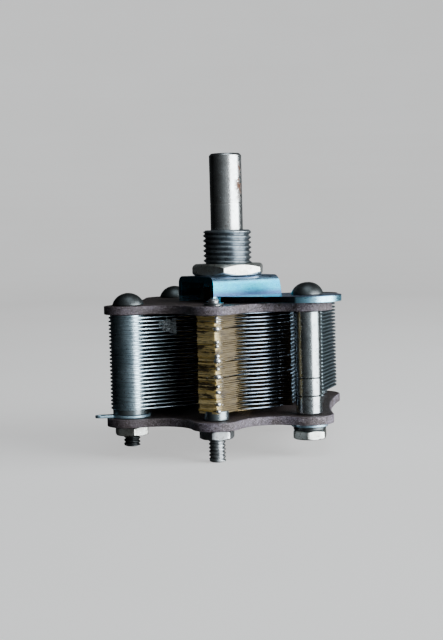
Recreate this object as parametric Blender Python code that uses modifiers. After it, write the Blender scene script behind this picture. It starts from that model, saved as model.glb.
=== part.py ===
"""Variable tuning capacitor with a solid dielectric.

Two bakelite end plates are held apart by four domed screws and one front stud.
The stator plates hang on three of the screws, the rotor vanes turn with the
shaft, and the dielectric sheets between them are clamped on the front stud.
A hat-shaped bracket on the top plate carries the threaded bush.

Units are metres.  +Z points up the shaft towards the knob end, and the origin
lies on the shaft axis at the height of the bracket's top, where a panel seats.
+Y points to the back of the capacitor, away from the front stud.
"""
import bmesh
import bpy
from math import atan2, cos, hypot, pi, radians, sin, sqrt
from mathutils import Matrix, Vector

mm = 0.001

# ---- driving dimensions --------------------------------------------------
CONTACT_GAP = 0.1 * mm          # left between pieces that rest on each other
THIN_GAP = 0.05 * mm            # the same between thin pieces
FIT_GAP = 0.08 * mm             # left round a shaft or a thread

SHAFT_RADIUS = 3.175 * mm       # quarter-inch shaft
SHAFT_TOP = 23.8 * mm
SHAFT_CHAMFER = 0.4 * mm
SHAFT_BELOW_PLATE = 1.7 * mm    # how far the pivot stands below the bottom plate
PIVOT_RADIUS = 2.3 * mm         # reduced lower end of the shaft
BUSH_RADIUS = 4.7625 * mm       # three-eighths-inch thread
BUSH_TOP = 8.9 * mm
BUSH_CHAMFER = 0.5 * mm
BUSH_BORE = 3.28 * mm
BUSH_HOLE = 4.1 * mm            # in the bracket
BUSH_FLANGE = 4.7 * mm          # behind the bracket
BUSH_FLANGE_HEIGHT = 0.7 * mm
PANEL_NUT_FLATS = 13.4 * mm
PANEL_NUT_HEIGHT = 2.3 * mm
PANEL_NUT_TURN = radians(24.5)  # angle of one corner of the nut

BRACKET_SHEET = 1.2 * mm
BRACKET_LENGTH = 14.7 * mm      # along the tunnel
BRACKET_WIDTH = 14.0 * mm       # across the tunnel
BRACKET_TURN = radians(30)      # direction of the tunnel
BRACKET_FLARE = 0.8 * mm        # how much the far end leans out towards the feet
BEND_RADIUS = 1.5 * mm
FRONT_FOOT_LOBE = 6.5 * mm
REAR_FOOT_LOBE = 3.0 * mm
FOOT_OVERLAP = 0.84 * mm        # how far the feet run into the walls
FOOT_SETBACK = 1.0 * mm         # from the near end of the tunnel to the front foot
FOOT_FLARE = 0.5 * mm           # from the far end of the tunnel to the front foot
REAR_FOOT_ENDS = (4.04 * mm, -5.51 * mm)
RIVET_CENTER = (-6.2 * mm, 10.7 * mm)
RIVET_RADIUS = 1.2 * mm
RIVET_HEAD = 2.0 * mm
RIVET_CROWN = 1.4 * mm          # flat top of the rivet's head
RIVET_HEAD_HEIGHT = 0.8 * mm
RIVET_EDGE_HEIGHT = 0.7 * mm

END_PLATE_SHEET = 1.6 * mm
TOP_PLATE_TOP = -5.0 * mm
BOTTOM_PLATE_TOP = -26.4 * mm
TOP_PLATE_BORE = 4.6 * mm
LOWER_BEARING_HOLE = 4.0 * mm

FRONT_LEFT = (-19.2 * mm, -8.5 * mm)
FRONT_STUD = (-2.8 * mm, -16.2 * mm)
FRONT_RIGHT = (14.8 * mm, -11.0 * mm)
REAR_RIGHT = (17.0 * mm, 21.0 * mm)
REAR_LEFT = (-11.4 * mm, 19.0 * mm)
FRONT_LOBE = 4.7 * mm
REAR_LOBE = 6.2 * mm

THREAD_RADIUS = 1.6 * mm
SCREW_HOLE = 1.75 * mm
DOME_RADIUS = 3.07 * mm
DOME_HEIGHT = 2.3 * mm
SMALL_NUT_FLATS = 6.0 * mm
SMALL_NUT_HEIGHT = 1.7 * mm
TIP_CHAMFER = 0.4 * mm          # at the lower end of a screw or the stud
STUD_FLANGE = 1.9 * mm
STUD_FLANGE_HEIGHT = 0.35 * mm
STUD_TIP = 1.05 * mm            # the peened end above the flange
STUD_TIP_HEIGHT = 1.2 * mm
SCREW_END = -32.0 * mm
FRONT_RIGHT_END = -30.9 * mm
STUD_END = -34.2 * mm

STATOR_COUNT = 25
ROTOR_COUNT = 26
PLATE_PITCH = 0.72 * mm
PLATE_SHEET = 0.2 * mm
FIRST_STATOR = -7.25 * mm       # middle of the uppermost stator plate
FIRST_VANE = FIRST_STATOR + PLATE_PITCH / 2
LAST_STATOR = FIRST_STATOR - (STATOR_COUNT - 1) * PLATE_PITCH
LAST_VANE = FIRST_VANE - (ROTOR_COUNT - 1) * PLATE_PITCH
DIELECTRIC_SHEET = 0.06 * mm
SPACER_RADIUS = 3.5 * mm
STATOR_LOBE = 3.9 * mm
STATOR_REAR_LOBE = 5.6 * mm
HUB_RADIUS = 4.2 * mm
HUB_MARGIN = 0.2 * mm           # how far the hub stands above and below the vanes
HUB_NOTCH = 5.5 * mm            # room for the hub in plates and sheets
VANE_RADIUS = 12.8 * mm
VANE_START = radians(-95)       # the vanes fill half a circle from here

FILM_COLUMN = 2.3 * mm          # joins the dielectric sheets round the front stud
FILM_MARGIN = 0.15 * mm         # how far that column stands above and below the sheets

CAM_TOP = -2.4 * mm
CAM_BOTTOM = -4.6 * mm
CAM_LOW = 4.4 * mm
CAM_HIGH = 5.55 * mm
CAM_SPAN = radians(167)
STOP_PIN_RADIUS = 0.45 * mm
STOP_PIN_ORBIT = 5.35 * mm
STOP_PIN_END = -4.3 * mm

PILLAR_RADIUS = 2.5 * mm
PILLAR_LENGTHS = (12.7 * mm, 3.35 * mm, 3.35 * mm)
TAG_SHEET = 0.5 * mm
TAG_WASHER = 0.5 * mm
TAG_WASHER_RADIUS = 3.1 * mm
STATOR_TAG_RING = 3.7 * mm
STATOR_TAG_TIP = 7.0 * mm
STATOR_TAG_WIDTH = 2.0 * mm
STATOR_TAG_EYE = 0.45 * mm
ROTOR_TAG_RING = 3.5 * mm
ROTOR_TAG_TIP = 8.0 * mm
ROTOR_TAG_WIDTH = 2.4 * mm
ROTOR_TAG_EYE = 0.6 * mm

BEARING_FLANGE = 5.0 * mm
BEARING_FLANGE_HEIGHT = 0.5 * mm
BEARING_BELOW_PLATE = 0.3 * mm
THRUST_WASHER_RADIUS = 3.9 * mm
CLIP_RADIUS = 3.8 * mm
CLIP_SHEET = 0.6 * mm
CLIP_GAP = radians(35)          # half of the opening in the clip

TOP_PLATE_UNDER = TOP_PLATE_TOP - END_PLATE_SHEET
BOTTOM_PLATE_UNDER = BOTTOM_PLATE_TOP - END_PLATE_SHEET

# ---- scene ---------------------------------------------------------------
for old in list(bpy.data.objects):
    bpy.data.objects.remove(old, do_unlink=True)

PARTS = bpy.data.collections.new("tuning_capacitor")
CUTTERS = bpy.data.collections.new("cutters")
bpy.context.scene.collection.children.link(PARTS)
bpy.context.scene.collection.children.link(CUTTERS)


def material(name, color, roughness, metallic):
    made = bpy.data.materials.new(name)
    made.use_nodes = True
    shader = made.node_tree.nodes["Principled BSDF"]
    shader.inputs["Base Color"].default_value = (*color, 1.0)
    shader.inputs["Roughness"].default_value = roughness
    shader.inputs["Metallic"].default_value = metallic
    return made


NICKEL = material("worn_nickel", (0.42, 0.39, 0.35), 0.35, 1.0)
BRASS = material("dull_brass", (0.50, 0.38, 0.20), 0.40, 1.0)
ZINC = material("zinc_plated_steel", (0.50, 0.56, 0.62), 0.30, 1.0)
STEEL = material("blued_steel", (0.30, 0.32, 0.34), 0.38, 1.0)
PLATE_METAL = material("plate_metal", (0.40, 0.44, 0.48), 0.35, 1.0)
BAKELITE = material("brown_bakelite", (0.11, 0.07, 0.07), 0.55, 0.0)
AMBER = material("amber_film", (0.42, 0.26, 0.08), 0.30, 0.0)


# ---- outlines ------------------------------------------------------------
def arc(center, radius, start, end, steps):
    """Points from angle start to angle end, both included."""
    angles = [start + (end - start) * i / steps for i in range(steps + 1)]
    return [(center[0] + radius * cos(a), center[1] + radius * sin(a)) for a in angles]


def arc_left(center, radius, start, end, steps):
    """An arc that runs counter-clockwise, whatever turns the two angles are given in."""
    while end < start:
        end += 2 * pi
    while end > start + 2 * pi:
        end -= 2 * pi
    return arc(center, radius, start, end, steps)


def arc_right(center, radius, start, end, steps):
    return arc_left(center, radius, end, start, steps)[::-1]


def circle(center, radius, sides):
    return arc(center, radius, 0, 2 * pi, sides)[:-1]


def waist_arc(p, p_radius, q, q_radius, waist):
    """Centre and radius of the hollow arc that touches the lobes round p and q.

    The arc's lowest point is waist outside the line that joins p and q.
    """
    span = hypot(q[0] - p[0], q[1] - p[1])
    low, high = 0.0, 1.0
    for _ in range(60):
        radius = (low + high) / 2
        lift = (q_radius - p_radius) * (p_radius + q_radius + 2 * radius)
        along = (span * span - lift) / (2 * span)
        if along ** 2 + (waist + radius) ** 2 > (p_radius + radius) ** 2:
            low = radius
        else:
            high = radius
    forward = Vector((q[0] - p[0], q[1] - p[1])) / span
    outward = Vector((forward.y, -forward.x))
    center = Vector(p) + forward * along + outward * (waist + radius)
    return (center.x, center.y), radius


def direction(p, q):
    return atan2(q[1] - p[1], q[0] - p[0])


def lobed_outline(lobes, waists, lobe_steps, waist_steps):
    """Closed outline round lobes (centre, radius), joined by hollow arcs."""
    count = len(lobes)
    joins = []
    for i, (center, radius) in enumerate(lobes):
        next_center, next_radius = lobes[(i + 1) % count]
        joins.append(waist_arc(center, radius, next_center, next_radius, waists[i]))
    points = []
    for i, (center, radius) in enumerate(lobes):
        hollow, hollow_radius = joins[i]
        points += arc_left(center, radius, direction(center, joins[i - 1][0]),
                           direction(center, hollow), lobe_steps)
        points += arc_right(hollow, hollow_radius, direction(hollow, center),
                            direction(hollow, lobes[(i + 1) % count][0]), waist_steps)[1:-1]
    return points


# ---- solids --------------------------------------------------------------
def add_object(name, mesh, collection=PARTS, finish=None):
    made = bpy.data.objects.new(name, mesh)
    collection.objects.link(made)
    if finish:
        mesh.materials.clear()
        mesh.materials.append(finish)
    if collection is CUTTERS:
        made.hide_render = True
        made.display_type = "WIRE"
    return made


def smooth(made, angle=radians(35)):
    made.data.shade_smooth()
    made.data.set_sharp_from_angle(angle=angle)


def sheet(name, outlines, bottom, top, finish=None, collection=PARTS):
    """A flat plate between two heights; outlines after the first are holes."""
    curve = bpy.data.curves.new(name, "CURVE")
    curve.dimensions = "2D"
    curve.fill_mode = "BOTH"
    curve.extrude = (top - bottom) / 2
    for outline in outlines:
        spline = curve.splines.new("POLY")
        spline.points.add(len(outline) - 1)
        for point, (x, y) in zip(spline.points, outline):
            point.co = (x, y, 0, 1)
        spline.use_cyclic_u = True
    guide = bpy.data.objects.new(name + "_curve", curve)
    CUTTERS.objects.link(guide)
    guide.location.z = (top + bottom) / 2
    bpy.context.view_layer.update()
    evaluated = guide.evaluated_get(bpy.context.evaluated_depsgraph_get())
    mesh = bpy.data.meshes.new_from_object(evaluated)
    body = bmesh.new()
    body.from_mesh(mesh)
    bmesh.ops.remove_doubles(body, verts=body.verts, dist=1e-7)
    bmesh.ops.recalc_face_normals(body, faces=body.faces)
    body.to_mesh(mesh)
    body.free()
    made = add_object(name, mesh, collection, finish)
    made.matrix_world = guide.matrix_world.copy()
    bpy.data.objects.remove(guide, do_unlink=True)
    bpy.data.curves.remove(curve)
    return made


def turned(name, profile, sides, center=(0, 0), finish=None, collection=PARTS, turn=0.0):
    """A turned solid: profile is (radius, height) down its outer side, then up its bore."""
    mesh = bpy.data.meshes.new(name)
    body = bmesh.new()
    verts = [body.verts.new((r, 0, z)) for r, z in profile]
    closed = profile[0][0] > 0
    for a, b in zip(verts, verts[1:] + (verts[:1] if closed else [])):
        body.edges.new((a, b))
    body.to_mesh(mesh)
    body.free()
    made = add_object(name, mesh, collection, finish)
    made.location = (*center, 0)
    made.rotation_euler.z = turn
    screw = made.modifiers.new("turn", "SCREW")
    screw.steps = sides
    screw.render_steps = sides
    screw.use_merge_vertices = True
    screw.merge_threshold = 1e-7
    screw.use_smooth_shade = False
    return made


def rod(name, radius, bottom, top, sides, center=(0, 0), finish=None, collection=CUTTERS):
    profile = [(0, top), (radius, top), (radius, bottom), (0, bottom)]
    return turned(name, profile, sides, center, finish, collection)


def boolean(made, operation, other):
    step = made.modifiers.new(operation.lower(), "BOOLEAN")
    step.operation = operation
    step.solver = "EXACT"
    step.object = other
    return made


def join_cutters(name, pieces):
    """One cutter object from several cutters that don't touch."""
    body = bmesh.new()
    bpy.context.view_layer.update()
    graph = bpy.context.evaluated_depsgraph_get()
    for piece in pieces:
        part = bpy.data.meshes.new_from_object(piece.evaluated_get(graph))
        part.transform(piece.matrix_world)
        body.from_mesh(part)
        bpy.data.meshes.remove(part)
        bpy.data.objects.remove(piece, do_unlink=True)
    mesh = bpy.data.meshes.new(name)
    body.to_mesh(mesh)
    body.free()
    return add_object(name, mesh, CUTTERS)


def washer(name, center, outer, inner, bottom, top, finish, sides=14):
    profile = [(outer, top), (outer, bottom), (inner, bottom), (inner, top)]
    return turned(name, profile, sides, center, finish)


def hex_nut(name, center, flats, hole, bottom, top, finish, turn, hole_sides=12):
    outline = arc(center, flats / sqrt(3), turn, turn + 2 * pi, 6)[:-1]
    return sheet(name, [outline, circle(center, hole, hole_sides)], bottom, top, finish)


# ---- end plates ----------------------------------------------------------
PLATE_LOBES = [(FRONT_LEFT, FRONT_LOBE), (FRONT_STUD, FRONT_LOBE), (FRONT_RIGHT, FRONT_LOBE),
               (REAR_RIGHT, REAR_LOBE), (REAR_LEFT, REAR_LOBE)]
PLATE_WAISTS = [0.2 * mm, 0.1 * mm, 4.1 * mm, 5.0 * mm, 3.6 * mm]
POSTS = [FRONT_LEFT, FRONT_STUD, FRONT_RIGHT, REAR_RIGHT, REAR_LEFT]


def end_plate(name, bottom, top, extra_holes):
    outline = lobed_outline(PLATE_LOBES, PLATE_WAISTS, 7, 4)
    holes = [circle(post, SCREW_HOLE, 12) for post in POSTS]
    return sheet(name, [outline] + holes + extra_holes, bottom, top, BAKELITE)


end_plate("top_end_plate", TOP_PLATE_UNDER, TOP_PLATE_TOP,
          [circle((0, 0), TOP_PLATE_BORE, 24), circle(RIVET_CENTER, RIVET_RADIUS + CONTACT_GAP, 12)])
end_plate("bottom_end_plate", BOTTOM_PLATE_UNDER, BOTTOM_PLATE_TOP,
          [circle((0, 0), LOWER_BEARING_HOLE, 24)])

# ---- bracket -------------------------------------------------------------
FOOT_BOTTOM = TOP_PLATE_TOP + CONTACT_GAP
FOOT_TOP = FOOT_BOTTOM + BRACKET_SHEET
STOP_PIN_CENTER = (STOP_PIN_ORBIT * cos(BRACKET_TURN), STOP_PIN_ORBIT * sin(BRACKET_TURN))
ABOVE_TUNNEL = (-2 * mm, 1 * mm)        # heights between which the top's holes are cut
THROUGH_FEET = (-6 * mm, -3 * mm)


def bracket_axes():
    along = Vector((cos(BRACKET_TURN), sin(BRACKET_TURN)))
    across = Vector((-along.y, along.x))
    return along, across


def bracket_point(u, w):
    along, across = bracket_axes()
    point = along * u + across * w
    return (point.x, point.y)


def hat_profile():
    """Section across the tunnel: (across, height), round the outside then the inside."""
    half = BRACKET_WIDTH / 2
    inner = BEND_RADIUS - BRACKET_SHEET
    inner_half = half - BRACKET_SHEET
    outside = [(half, FOOT_BOTTOM)]
    outside += arc((half - BEND_RADIUS, -BEND_RADIUS), BEND_RADIUS, 0, pi / 2, 4)
    outside += arc((BEND_RADIUS - half, -BEND_RADIUS), BEND_RADIUS, pi / 2, pi, 4)
    outside += [(-half, FOOT_BOTTOM)]
    inside = [(-inner_half, FOOT_BOTTOM)]
    inside += arc((BEND_RADIUS - half, -BEND_RADIUS), inner, pi, pi / 2, 2)
    inside += arc((half - BEND_RADIUS, -BEND_RADIUS), inner, pi / 2, 0, 2)
    inside += [(inner_half, FOOT_BOTTOM)]
    return outside + inside


def bracket_channel():
    """The folded channel: the hat section run along the tunnel, its far end flared."""
    half = BRACKET_LENGTH / 2
    channel = sheet("mounting_bracket", [hat_profile()], -half, half, ZINC)
    along, across = bracket_axes()
    # The sheet's x runs across the tunnel, its y is height and its z runs along the tunnel.
    stand = Matrix(((across.x, 0, along.x), (across.y, 0, along.y), (0, 1, 0))).to_4x4()
    for vert in channel.data.vertices:
        if vert.co.z > 0:
            vert.co.z += BRACKET_FLARE * (vert.co.y / FOOT_BOTTOM)
    channel.data.transform(stand)
    if stand.determinant() < 0:
        channel.data.flip_normals()
    return channel


def front_foot():
    near = FOOT_SETBACK - BRACKET_LENGTH / 2
    wall = -BRACKET_WIDTH / 2
    outline = [bracket_point(near, wall + FOOT_OVERLAP), bracket_point(near, wall - FOOT_SETBACK)]
    outline += arc(FRONT_RIGHT, FRONT_FOOT_LOBE, radians(-118), radians(62), 14)
    outline += [bracket_point(BRACKET_LENGTH / 2 + FOOT_FLARE, wall + FOOT_OVERLAP)]
    return sheet("front_foot", [outline], FOOT_BOTTOM, FOOT_TOP, None, CUTTERS)


def rear_foot():
    wall = BRACKET_WIDTH / 2
    far, near = REAR_FOOT_ENDS
    outline = [bracket_point(far, wall - FOOT_OVERLAP)]
    outline += arc(RIVET_CENTER, REAR_FOOT_LOBE, BRACKET_TURN, BRACKET_TURN + pi, 8)
    outline += [bracket_point(near, wall - FOOT_OVERLAP)]
    return sheet("rear_foot", [outline], FOOT_BOTTOM, FOOT_TOP, None, CUTTERS)


def mounting_bracket():
    channel = bracket_channel()
    boolean(channel, "UNION", front_foot())
    boolean(channel, "UNION", rear_foot())
    holes = [rod("bush_hole", BUSH_HOLE, *ABOVE_TUNNEL, 24),
             rod("pin_hole", STOP_PIN_RADIUS + CONTACT_GAP, *ABOVE_TUNNEL, 12, STOP_PIN_CENTER),
             rod("screw_hole", SCREW_HOLE, *THROUGH_FEET, 14, FRONT_RIGHT),
             rod("rivet_hole", RIVET_RADIUS + CONTACT_GAP, *THROUGH_FEET, 12, RIVET_CENTER)]
    boolean(channel, "DIFFERENCE", join_cutters("bracket_holes", holes))
    return channel


mounting_bracket()
rivet_seat = FOOT_TOP + CONTACT_GAP
rivet_under = TOP_PLATE_UNDER + THIN_GAP
turned("bracket_rivet", [
    (0, FOOT_TOP + RIVET_HEAD_HEIGHT), (RIVET_CROWN, FOOT_TOP + RIVET_EDGE_HEIGHT), (RIVET_HEAD, rivet_seat),
    (RIVET_RADIUS, rivet_seat), (RIVET_RADIUS, rivet_under), (0, rivet_under)], 12, RIVET_CENTER, STEEL)

# ---- bush and panel nut --------------------------------------------------
bush_neck = BUSH_HOLE - FIT_GAP
flange_seat = -BRACKET_SHEET - CONTACT_GAP
turned("threaded_bush", [
    (BUSH_RADIUS - BUSH_CHAMFER, BUSH_TOP), (BUSH_RADIUS, BUSH_TOP - BUSH_CHAMFER),
    (BUSH_RADIUS, CONTACT_GAP), (bush_neck, CONTACT_GAP), (bush_neck, flange_seat),
    (BUSH_FLANGE, flange_seat), (BUSH_FLANGE, flange_seat - BUSH_FLANGE_HEIGHT),
    (BUSH_BORE, flange_seat - BUSH_FLANGE_HEIGHT), (BUSH_BORE, BUSH_TOP)], 28, (0, 0), NICKEL)
hex_nut("panel_nut", (0, 0), PANEL_NUT_FLATS, BUSH_RADIUS + FIT_GAP, CONTACT_GAP,
        PANEL_NUT_HEIGHT, NICKEL, PANEL_NUT_TURN, hole_sides=28)

# ---- shaft and rotor -----------------------------------------------------
SHAFT_SHOULDER = LAST_VANE - HUB_MARGIN - THIN_GAP
SHAFT_END = BOTTOM_PLATE_UNDER - SHAFT_BELOW_PLATE
turned("shaft", [(0, SHAFT_TOP), (SHAFT_RADIUS - SHAFT_CHAMFER, SHAFT_TOP),
                 (SHAFT_RADIUS, SHAFT_TOP - SHAFT_CHAMFER), (SHAFT_RADIUS, SHAFT_SHOULDER),
                 (PIVOT_RADIUS, SHAFT_SHOULDER), (PIVOT_RADIUS, SHAFT_END), (0, SHAFT_END)],
       24, (0, 0), NICKEL)

vane = arc((0, 0), VANE_RADIUS, VANE_START, VANE_START + pi, 13)
vane_pack = sheet("rotor_vane_pack", [vane], FIRST_VANE - PLATE_SHEET / 2,
                  FIRST_VANE + PLATE_SHEET / 2, PLATE_METAL)


THROUGH_STACK = (BOTTOM_PLATE_UNDER, TOP_PLATE_TOP)


def stack(made, count):
    """Repeat a plate downwards at the plate pitch."""
    step = made.modifiers.new("stack", "ARRAY")
    step.count = count
    step.use_relative_offset = False
    step.use_constant_offset = True
    step.constant_offset_displace = (0, 0, -PLATE_PITCH)
    return made


stack(vane_pack, ROTOR_COUNT)
boolean(vane_pack, "UNION",
        rod("hub", HUB_RADIUS, LAST_VANE - HUB_MARGIN, FIRST_VANE + HUB_MARGIN, 10))
boolean(vane_pack, "DIFFERENCE", rod("hub_bore", SHAFT_RADIUS + CONTACT_GAP, *THROUGH_STACK, 24))

# The stop cam's raised sector meets the stop pin at both ends of the turn.
cam_middle = BRACKET_TURN + pi
cam = arc((0, 0), CAM_HIGH, cam_middle - CAM_SPAN / 2, cam_middle + CAM_SPAN / 2, 10)
cam += arc((0, 0), CAM_LOW, cam_middle + CAM_SPAN / 2, cam_middle - CAM_SPAN / 2 + 2 * pi, 10)
sheet("stop_cam", [cam, circle((0, 0), SHAFT_RADIUS + CONTACT_GAP, 24)], CAM_BOTTOM, CAM_TOP, BRASS)
turned("stop_pin", [(0, -CONTACT_GAP), (STOP_PIN_RADIUS, -CONTACT_GAP), (STOP_PIN_RADIUS, STOP_PIN_END),
                    (0, STOP_PIN_END)], 12, STOP_PIN_CENTER, STEEL)

# ---- stator --------------------------------------------------------------
STATOR_POSTS = [FRONT_LEFT, REAR_LEFT, REAR_RIGHT]


def stator_outline():
    """Counter-clockwise from the right-hand side, round the back to the front left."""
    rear_waist, rear_waist_radius = waist_arc(REAR_RIGHT, STATOR_REAR_LOBE, REAR_LEFT,
                                              STATOR_REAR_LOBE, 4.4 * mm)
    left_waist, left_waist_radius = waist_arc(REAR_LEFT, STATOR_REAR_LOBE, FRONT_LEFT,
                                              STATOR_LOBE, 2.9 * mm)
    points = [(18.4 * mm, 2.0 * mm), (19.0 * mm, 9.0 * mm)]
    points += arc_left(REAR_RIGHT, STATOR_REAR_LOBE, radians(-25),
                       direction(REAR_RIGHT, rear_waist), 3)
    points += arc_right(rear_waist, rear_waist_radius, direction(rear_waist, REAR_RIGHT),
                        direction(rear_waist, REAR_LEFT), 2)[1:-1]
    points += arc_left(REAR_LEFT, STATOR_REAR_LOBE, direction(REAR_LEFT, rear_waist),
                       direction(REAR_LEFT, left_waist), 3)
    points += arc_right(left_waist, left_waist_radius, direction(left_waist, REAR_LEFT),
                        direction(left_waist, FRONT_LEFT), 2)[1:-1]
    points += arc_left(FRONT_LEFT, STATOR_LOBE, direction(FRONT_LEFT, left_waist),
                       radians(292), 4)
    points += [(-7.2 * mm, -7.9 * mm)]
    points += arc((0, 0), HUB_NOTCH, radians(202), radians(-8), 5)
    return points


stator = sheet("stator_plate_pack", [stator_outline()], FIRST_STATOR - PLATE_SHEET / 2,
               FIRST_STATOR + PLATE_SHEET / 2, PLATE_METAL)
stack(stator, STATOR_COUNT)
STACK_TOP = TOP_PLATE_UNDER - CONTACT_GAP
STACK_BOTTOM = LAST_STATOR - PLATE_SHEET / 2 - THIN_GAP
spacers = [rod("spacer", SPACER_RADIUS, STACK_BOTTOM, STACK_TOP, 8, post) for post in STATOR_POSTS]
boolean(stator, "UNION", join_cutters("spacer_columns", spacers))
bores = [rod("bore", SCREW_HOLE, *THROUGH_STACK, 8, post) for post in STATOR_POSTS]
boolean(stator, "DIFFERENCE", join_cutters("spacer_bores", bores))

# ---- dielectric sheets ---------------------------------------------------
FIRST_FILM = FIRST_STATOR + PLATE_PITCH / 4
LAST_FILM = FIRST_FILM - (STATOR_COUNT - 1) * PLATE_PITCH
FILM_TOP = FIRST_FILM + FILM_MARGIN
FILM_BOTTOM = LAST_FILM - FILM_MARGIN


def film_outline():
    """A corner at the front stud, a tab at the right, a notch for the hub at the back."""
    points = [(-6.1 * mm, -16.4 * mm), (-3.0 * mm, -19.0 * mm), (-2.4 * mm, -18.95 * mm)]
    points += [(2.3 * mm, -12.9 * mm), (6.0 * mm, -10.5 * mm), (8.7 * mm, -8.5 * mm)]
    points += [(10.3 * mm, -9.3 * mm), (11.8 * mm, -8.1 * mm), (12.2 * mm, 4.0 * mm)]
    points += [(HUB_NOTCH, 13.0 * mm), (HUB_NOTCH, 0)]
    points += arc((0, 0), HUB_NOTCH, 0, -pi, 3)[1:-1]
    points += [(-HUB_NOTCH, 0), (-HUB_NOTCH, 13.0 * mm), (-12.2 * mm, 3.0 * mm)]
    points += [(-12.0 * mm, -3.2 * mm), (-6.3 * mm, -4.6 * mm)]
    return points


films = sheet("dielectric_sheet_pack", [film_outline()], FIRST_FILM - DIELECTRIC_SHEET / 2,
              FIRST_FILM + DIELECTRIC_SHEET / 2, AMBER)
stack(films, STATOR_COUNT)
boolean(films, "UNION", rod("film_column", FILM_COLUMN, FILM_BOTTOM, FILM_TOP, 8, FRONT_STUD))
boolean(films, "DIFFERENCE", rod("film_bore", SCREW_HOLE, *THROUGH_STACK, 8, FRONT_STUD))
washer("film_top_washer", FRONT_STUD, FILM_COLUMN, SCREW_HOLE, FILM_TOP + THIN_GAP,
       TOP_PLATE_UNDER - THIN_GAP, STEEL)
washer("film_clamp_washer", FRONT_STUD, FILM_COLUMN, SCREW_HOLE, BOTTOM_PLATE_TOP + CONTACT_GAP,
       FILM_BOTTOM - CONTACT_GAP, ZINC)


# ---- screws, stud and nuts -----------------------------------------------
def domed_screw(name, center, seat, end, finish):
    """A screw with a low dome head; the profile is a circular segment."""
    bulge = (DOME_RADIUS ** 2 + DOME_HEIGHT ** 2) / (2 * DOME_HEIGHT)
    edge = atan2(DOME_RADIUS, bulge - DOME_HEIGHT)
    seat += CONTACT_GAP
    dome_center = seat + DOME_HEIGHT - bulge
    profile = [(bulge * sin(edge * k / 4), dome_center + bulge * cos(edge * k / 4)) for k in range(5)]
    profile[0] = (0, seat + DOME_HEIGHT)
    profile += [(THREAD_RADIUS, seat), (THREAD_RADIUS, end + TIP_CHAMFER),
                (THREAD_RADIUS - TIP_CHAMFER, end), (0, end)]
    return turned(name, profile, 14, center, finish)


domed_screw("screw_front_left", FRONT_LEFT, TOP_PLATE_TOP, SCREW_END, STEEL)
domed_screw("screw_front_right", FRONT_RIGHT, FOOT_TOP, FRONT_RIGHT_END, STEEL)
domed_screw("screw_rear_left", REAR_LEFT, TOP_PLATE_TOP, SCREW_END, STEEL)
domed_screw("screw_rear_right", REAR_RIGHT, TOP_PLATE_TOP, SCREW_END, STEEL)
stud_seat = TOP_PLATE_TOP + CONTACT_GAP
turned("front_stud", [
    (0, stud_seat + STUD_TIP_HEIGHT), (STUD_TIP, stud_seat + STUD_TIP_HEIGHT),
    (STUD_TIP, stud_seat + STUD_FLANGE_HEIGHT), (STUD_FLANGE, stud_seat + STUD_FLANGE_HEIGHT),
    (STUD_FLANGE, stud_seat),
    (THREAD_RADIUS, stud_seat), (THREAD_RADIUS, STUD_END + TIP_CHAMFER),
    (THREAD_RADIUS - TIP_CHAMFER, STUD_END), (0, STUD_END)], 14, FRONT_STUD, NICKEL)

NUT_TOP = BOTTOM_PLATE_UNDER - CONTACT_GAP
NUT_HOLE = THREAD_RADIUS + CONTACT_GAP
TAGGED_NUT_TOP = NUT_TOP - TAG_SHEET - TAG_WASHER - 2 * CONTACT_GAP
for name, post, turn, top in (("nut_front_left", FRONT_LEFT, radians(-78), NUT_TOP),
                              ("nut_front_stud", FRONT_STUD, radians(-105), NUT_TOP),
                              ("nut_front_right", FRONT_RIGHT, radians(-100), TAGGED_NUT_TOP),
                              ("nut_rear_right", REAR_RIGHT, radians(10), NUT_TOP),
                              ("nut_rear_left", REAR_LEFT, radians(25), NUT_TOP)):
    hex_nut(name, post, SMALL_NUT_FLATS, NUT_HOLE, top - SMALL_NUT_HEIGHT, top, NICKEL, turn)

# ---- spacers, pillar and tags --------------------------------------------
TAG_BOTTOM = BOTTOM_PLATE_TOP + CONTACT_GAP
TAG_TOP = TAG_BOTTOM + TAG_SHEET
washer("stator_washer_front_left", FRONT_LEFT, SPACER_RADIUS, SCREW_HOLE, TAG_TOP + CONTACT_GAP,
       STACK_BOTTOM - CONTACT_GAP, ZINC)
for name, post in (("stator_washer_rear_left", REAR_LEFT), ("stator_washer_rear_right", REAR_RIGHT)):
    washer(name, post, SPACER_RADIUS, SCREW_HOLE, TAG_BOTTOM, STACK_BOTTOM - CONTACT_GAP, ZINC)


def solder_tag(name, center, heading, ring, tip, width, bottom, top, eye):
    """A flat ring with a straight tongue that ends in a round tip with an eye."""
    def place(along, across):
        return (center[0] + along * cos(heading) - across * sin(heading),
                center[1] + along * sin(heading) + across * cos(heading))
    neck = atan2(width / 2, sqrt(ring ** 2 - (width / 2) ** 2))
    end = place(tip - width / 2, 0)
    outline = arc(center, ring, heading + neck, heading + 2 * pi - neck, 14)
    outline += arc(end, width / 2, heading - pi / 2, heading + pi / 2, 6)
    return sheet(name, [outline, circle(center, SCREW_HOLE, 12), circle(end, eye, 10)], bottom, top, ZINC)


solder_tag("stator_solder_tag", FRONT_LEFT, radians(192), STATOR_TAG_RING, STATOR_TAG_TIP,
           STATOR_TAG_WIDTH, TAG_BOTTOM, TAG_TOP, STATOR_TAG_EYE)
rotor_tag_top = BOTTOM_PLATE_UNDER - CONTACT_GAP
solder_tag("rotor_solder_tag", FRONT_RIGHT, radians(150), ROTOR_TAG_RING, ROTOR_TAG_TIP,
           ROTOR_TAG_WIDTH, rotor_tag_top - TAG_SHEET, rotor_tag_top, ROTOR_TAG_EYE)
tag_washer_top = rotor_tag_top - TAG_SHEET - CONTACT_GAP
washer("rotor_tag_washer", FRONT_RIGHT, TAG_WASHER_RADIUS, SCREW_HOLE, tag_washer_top - TAG_WASHER,
       tag_washer_top, STEEL)

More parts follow.
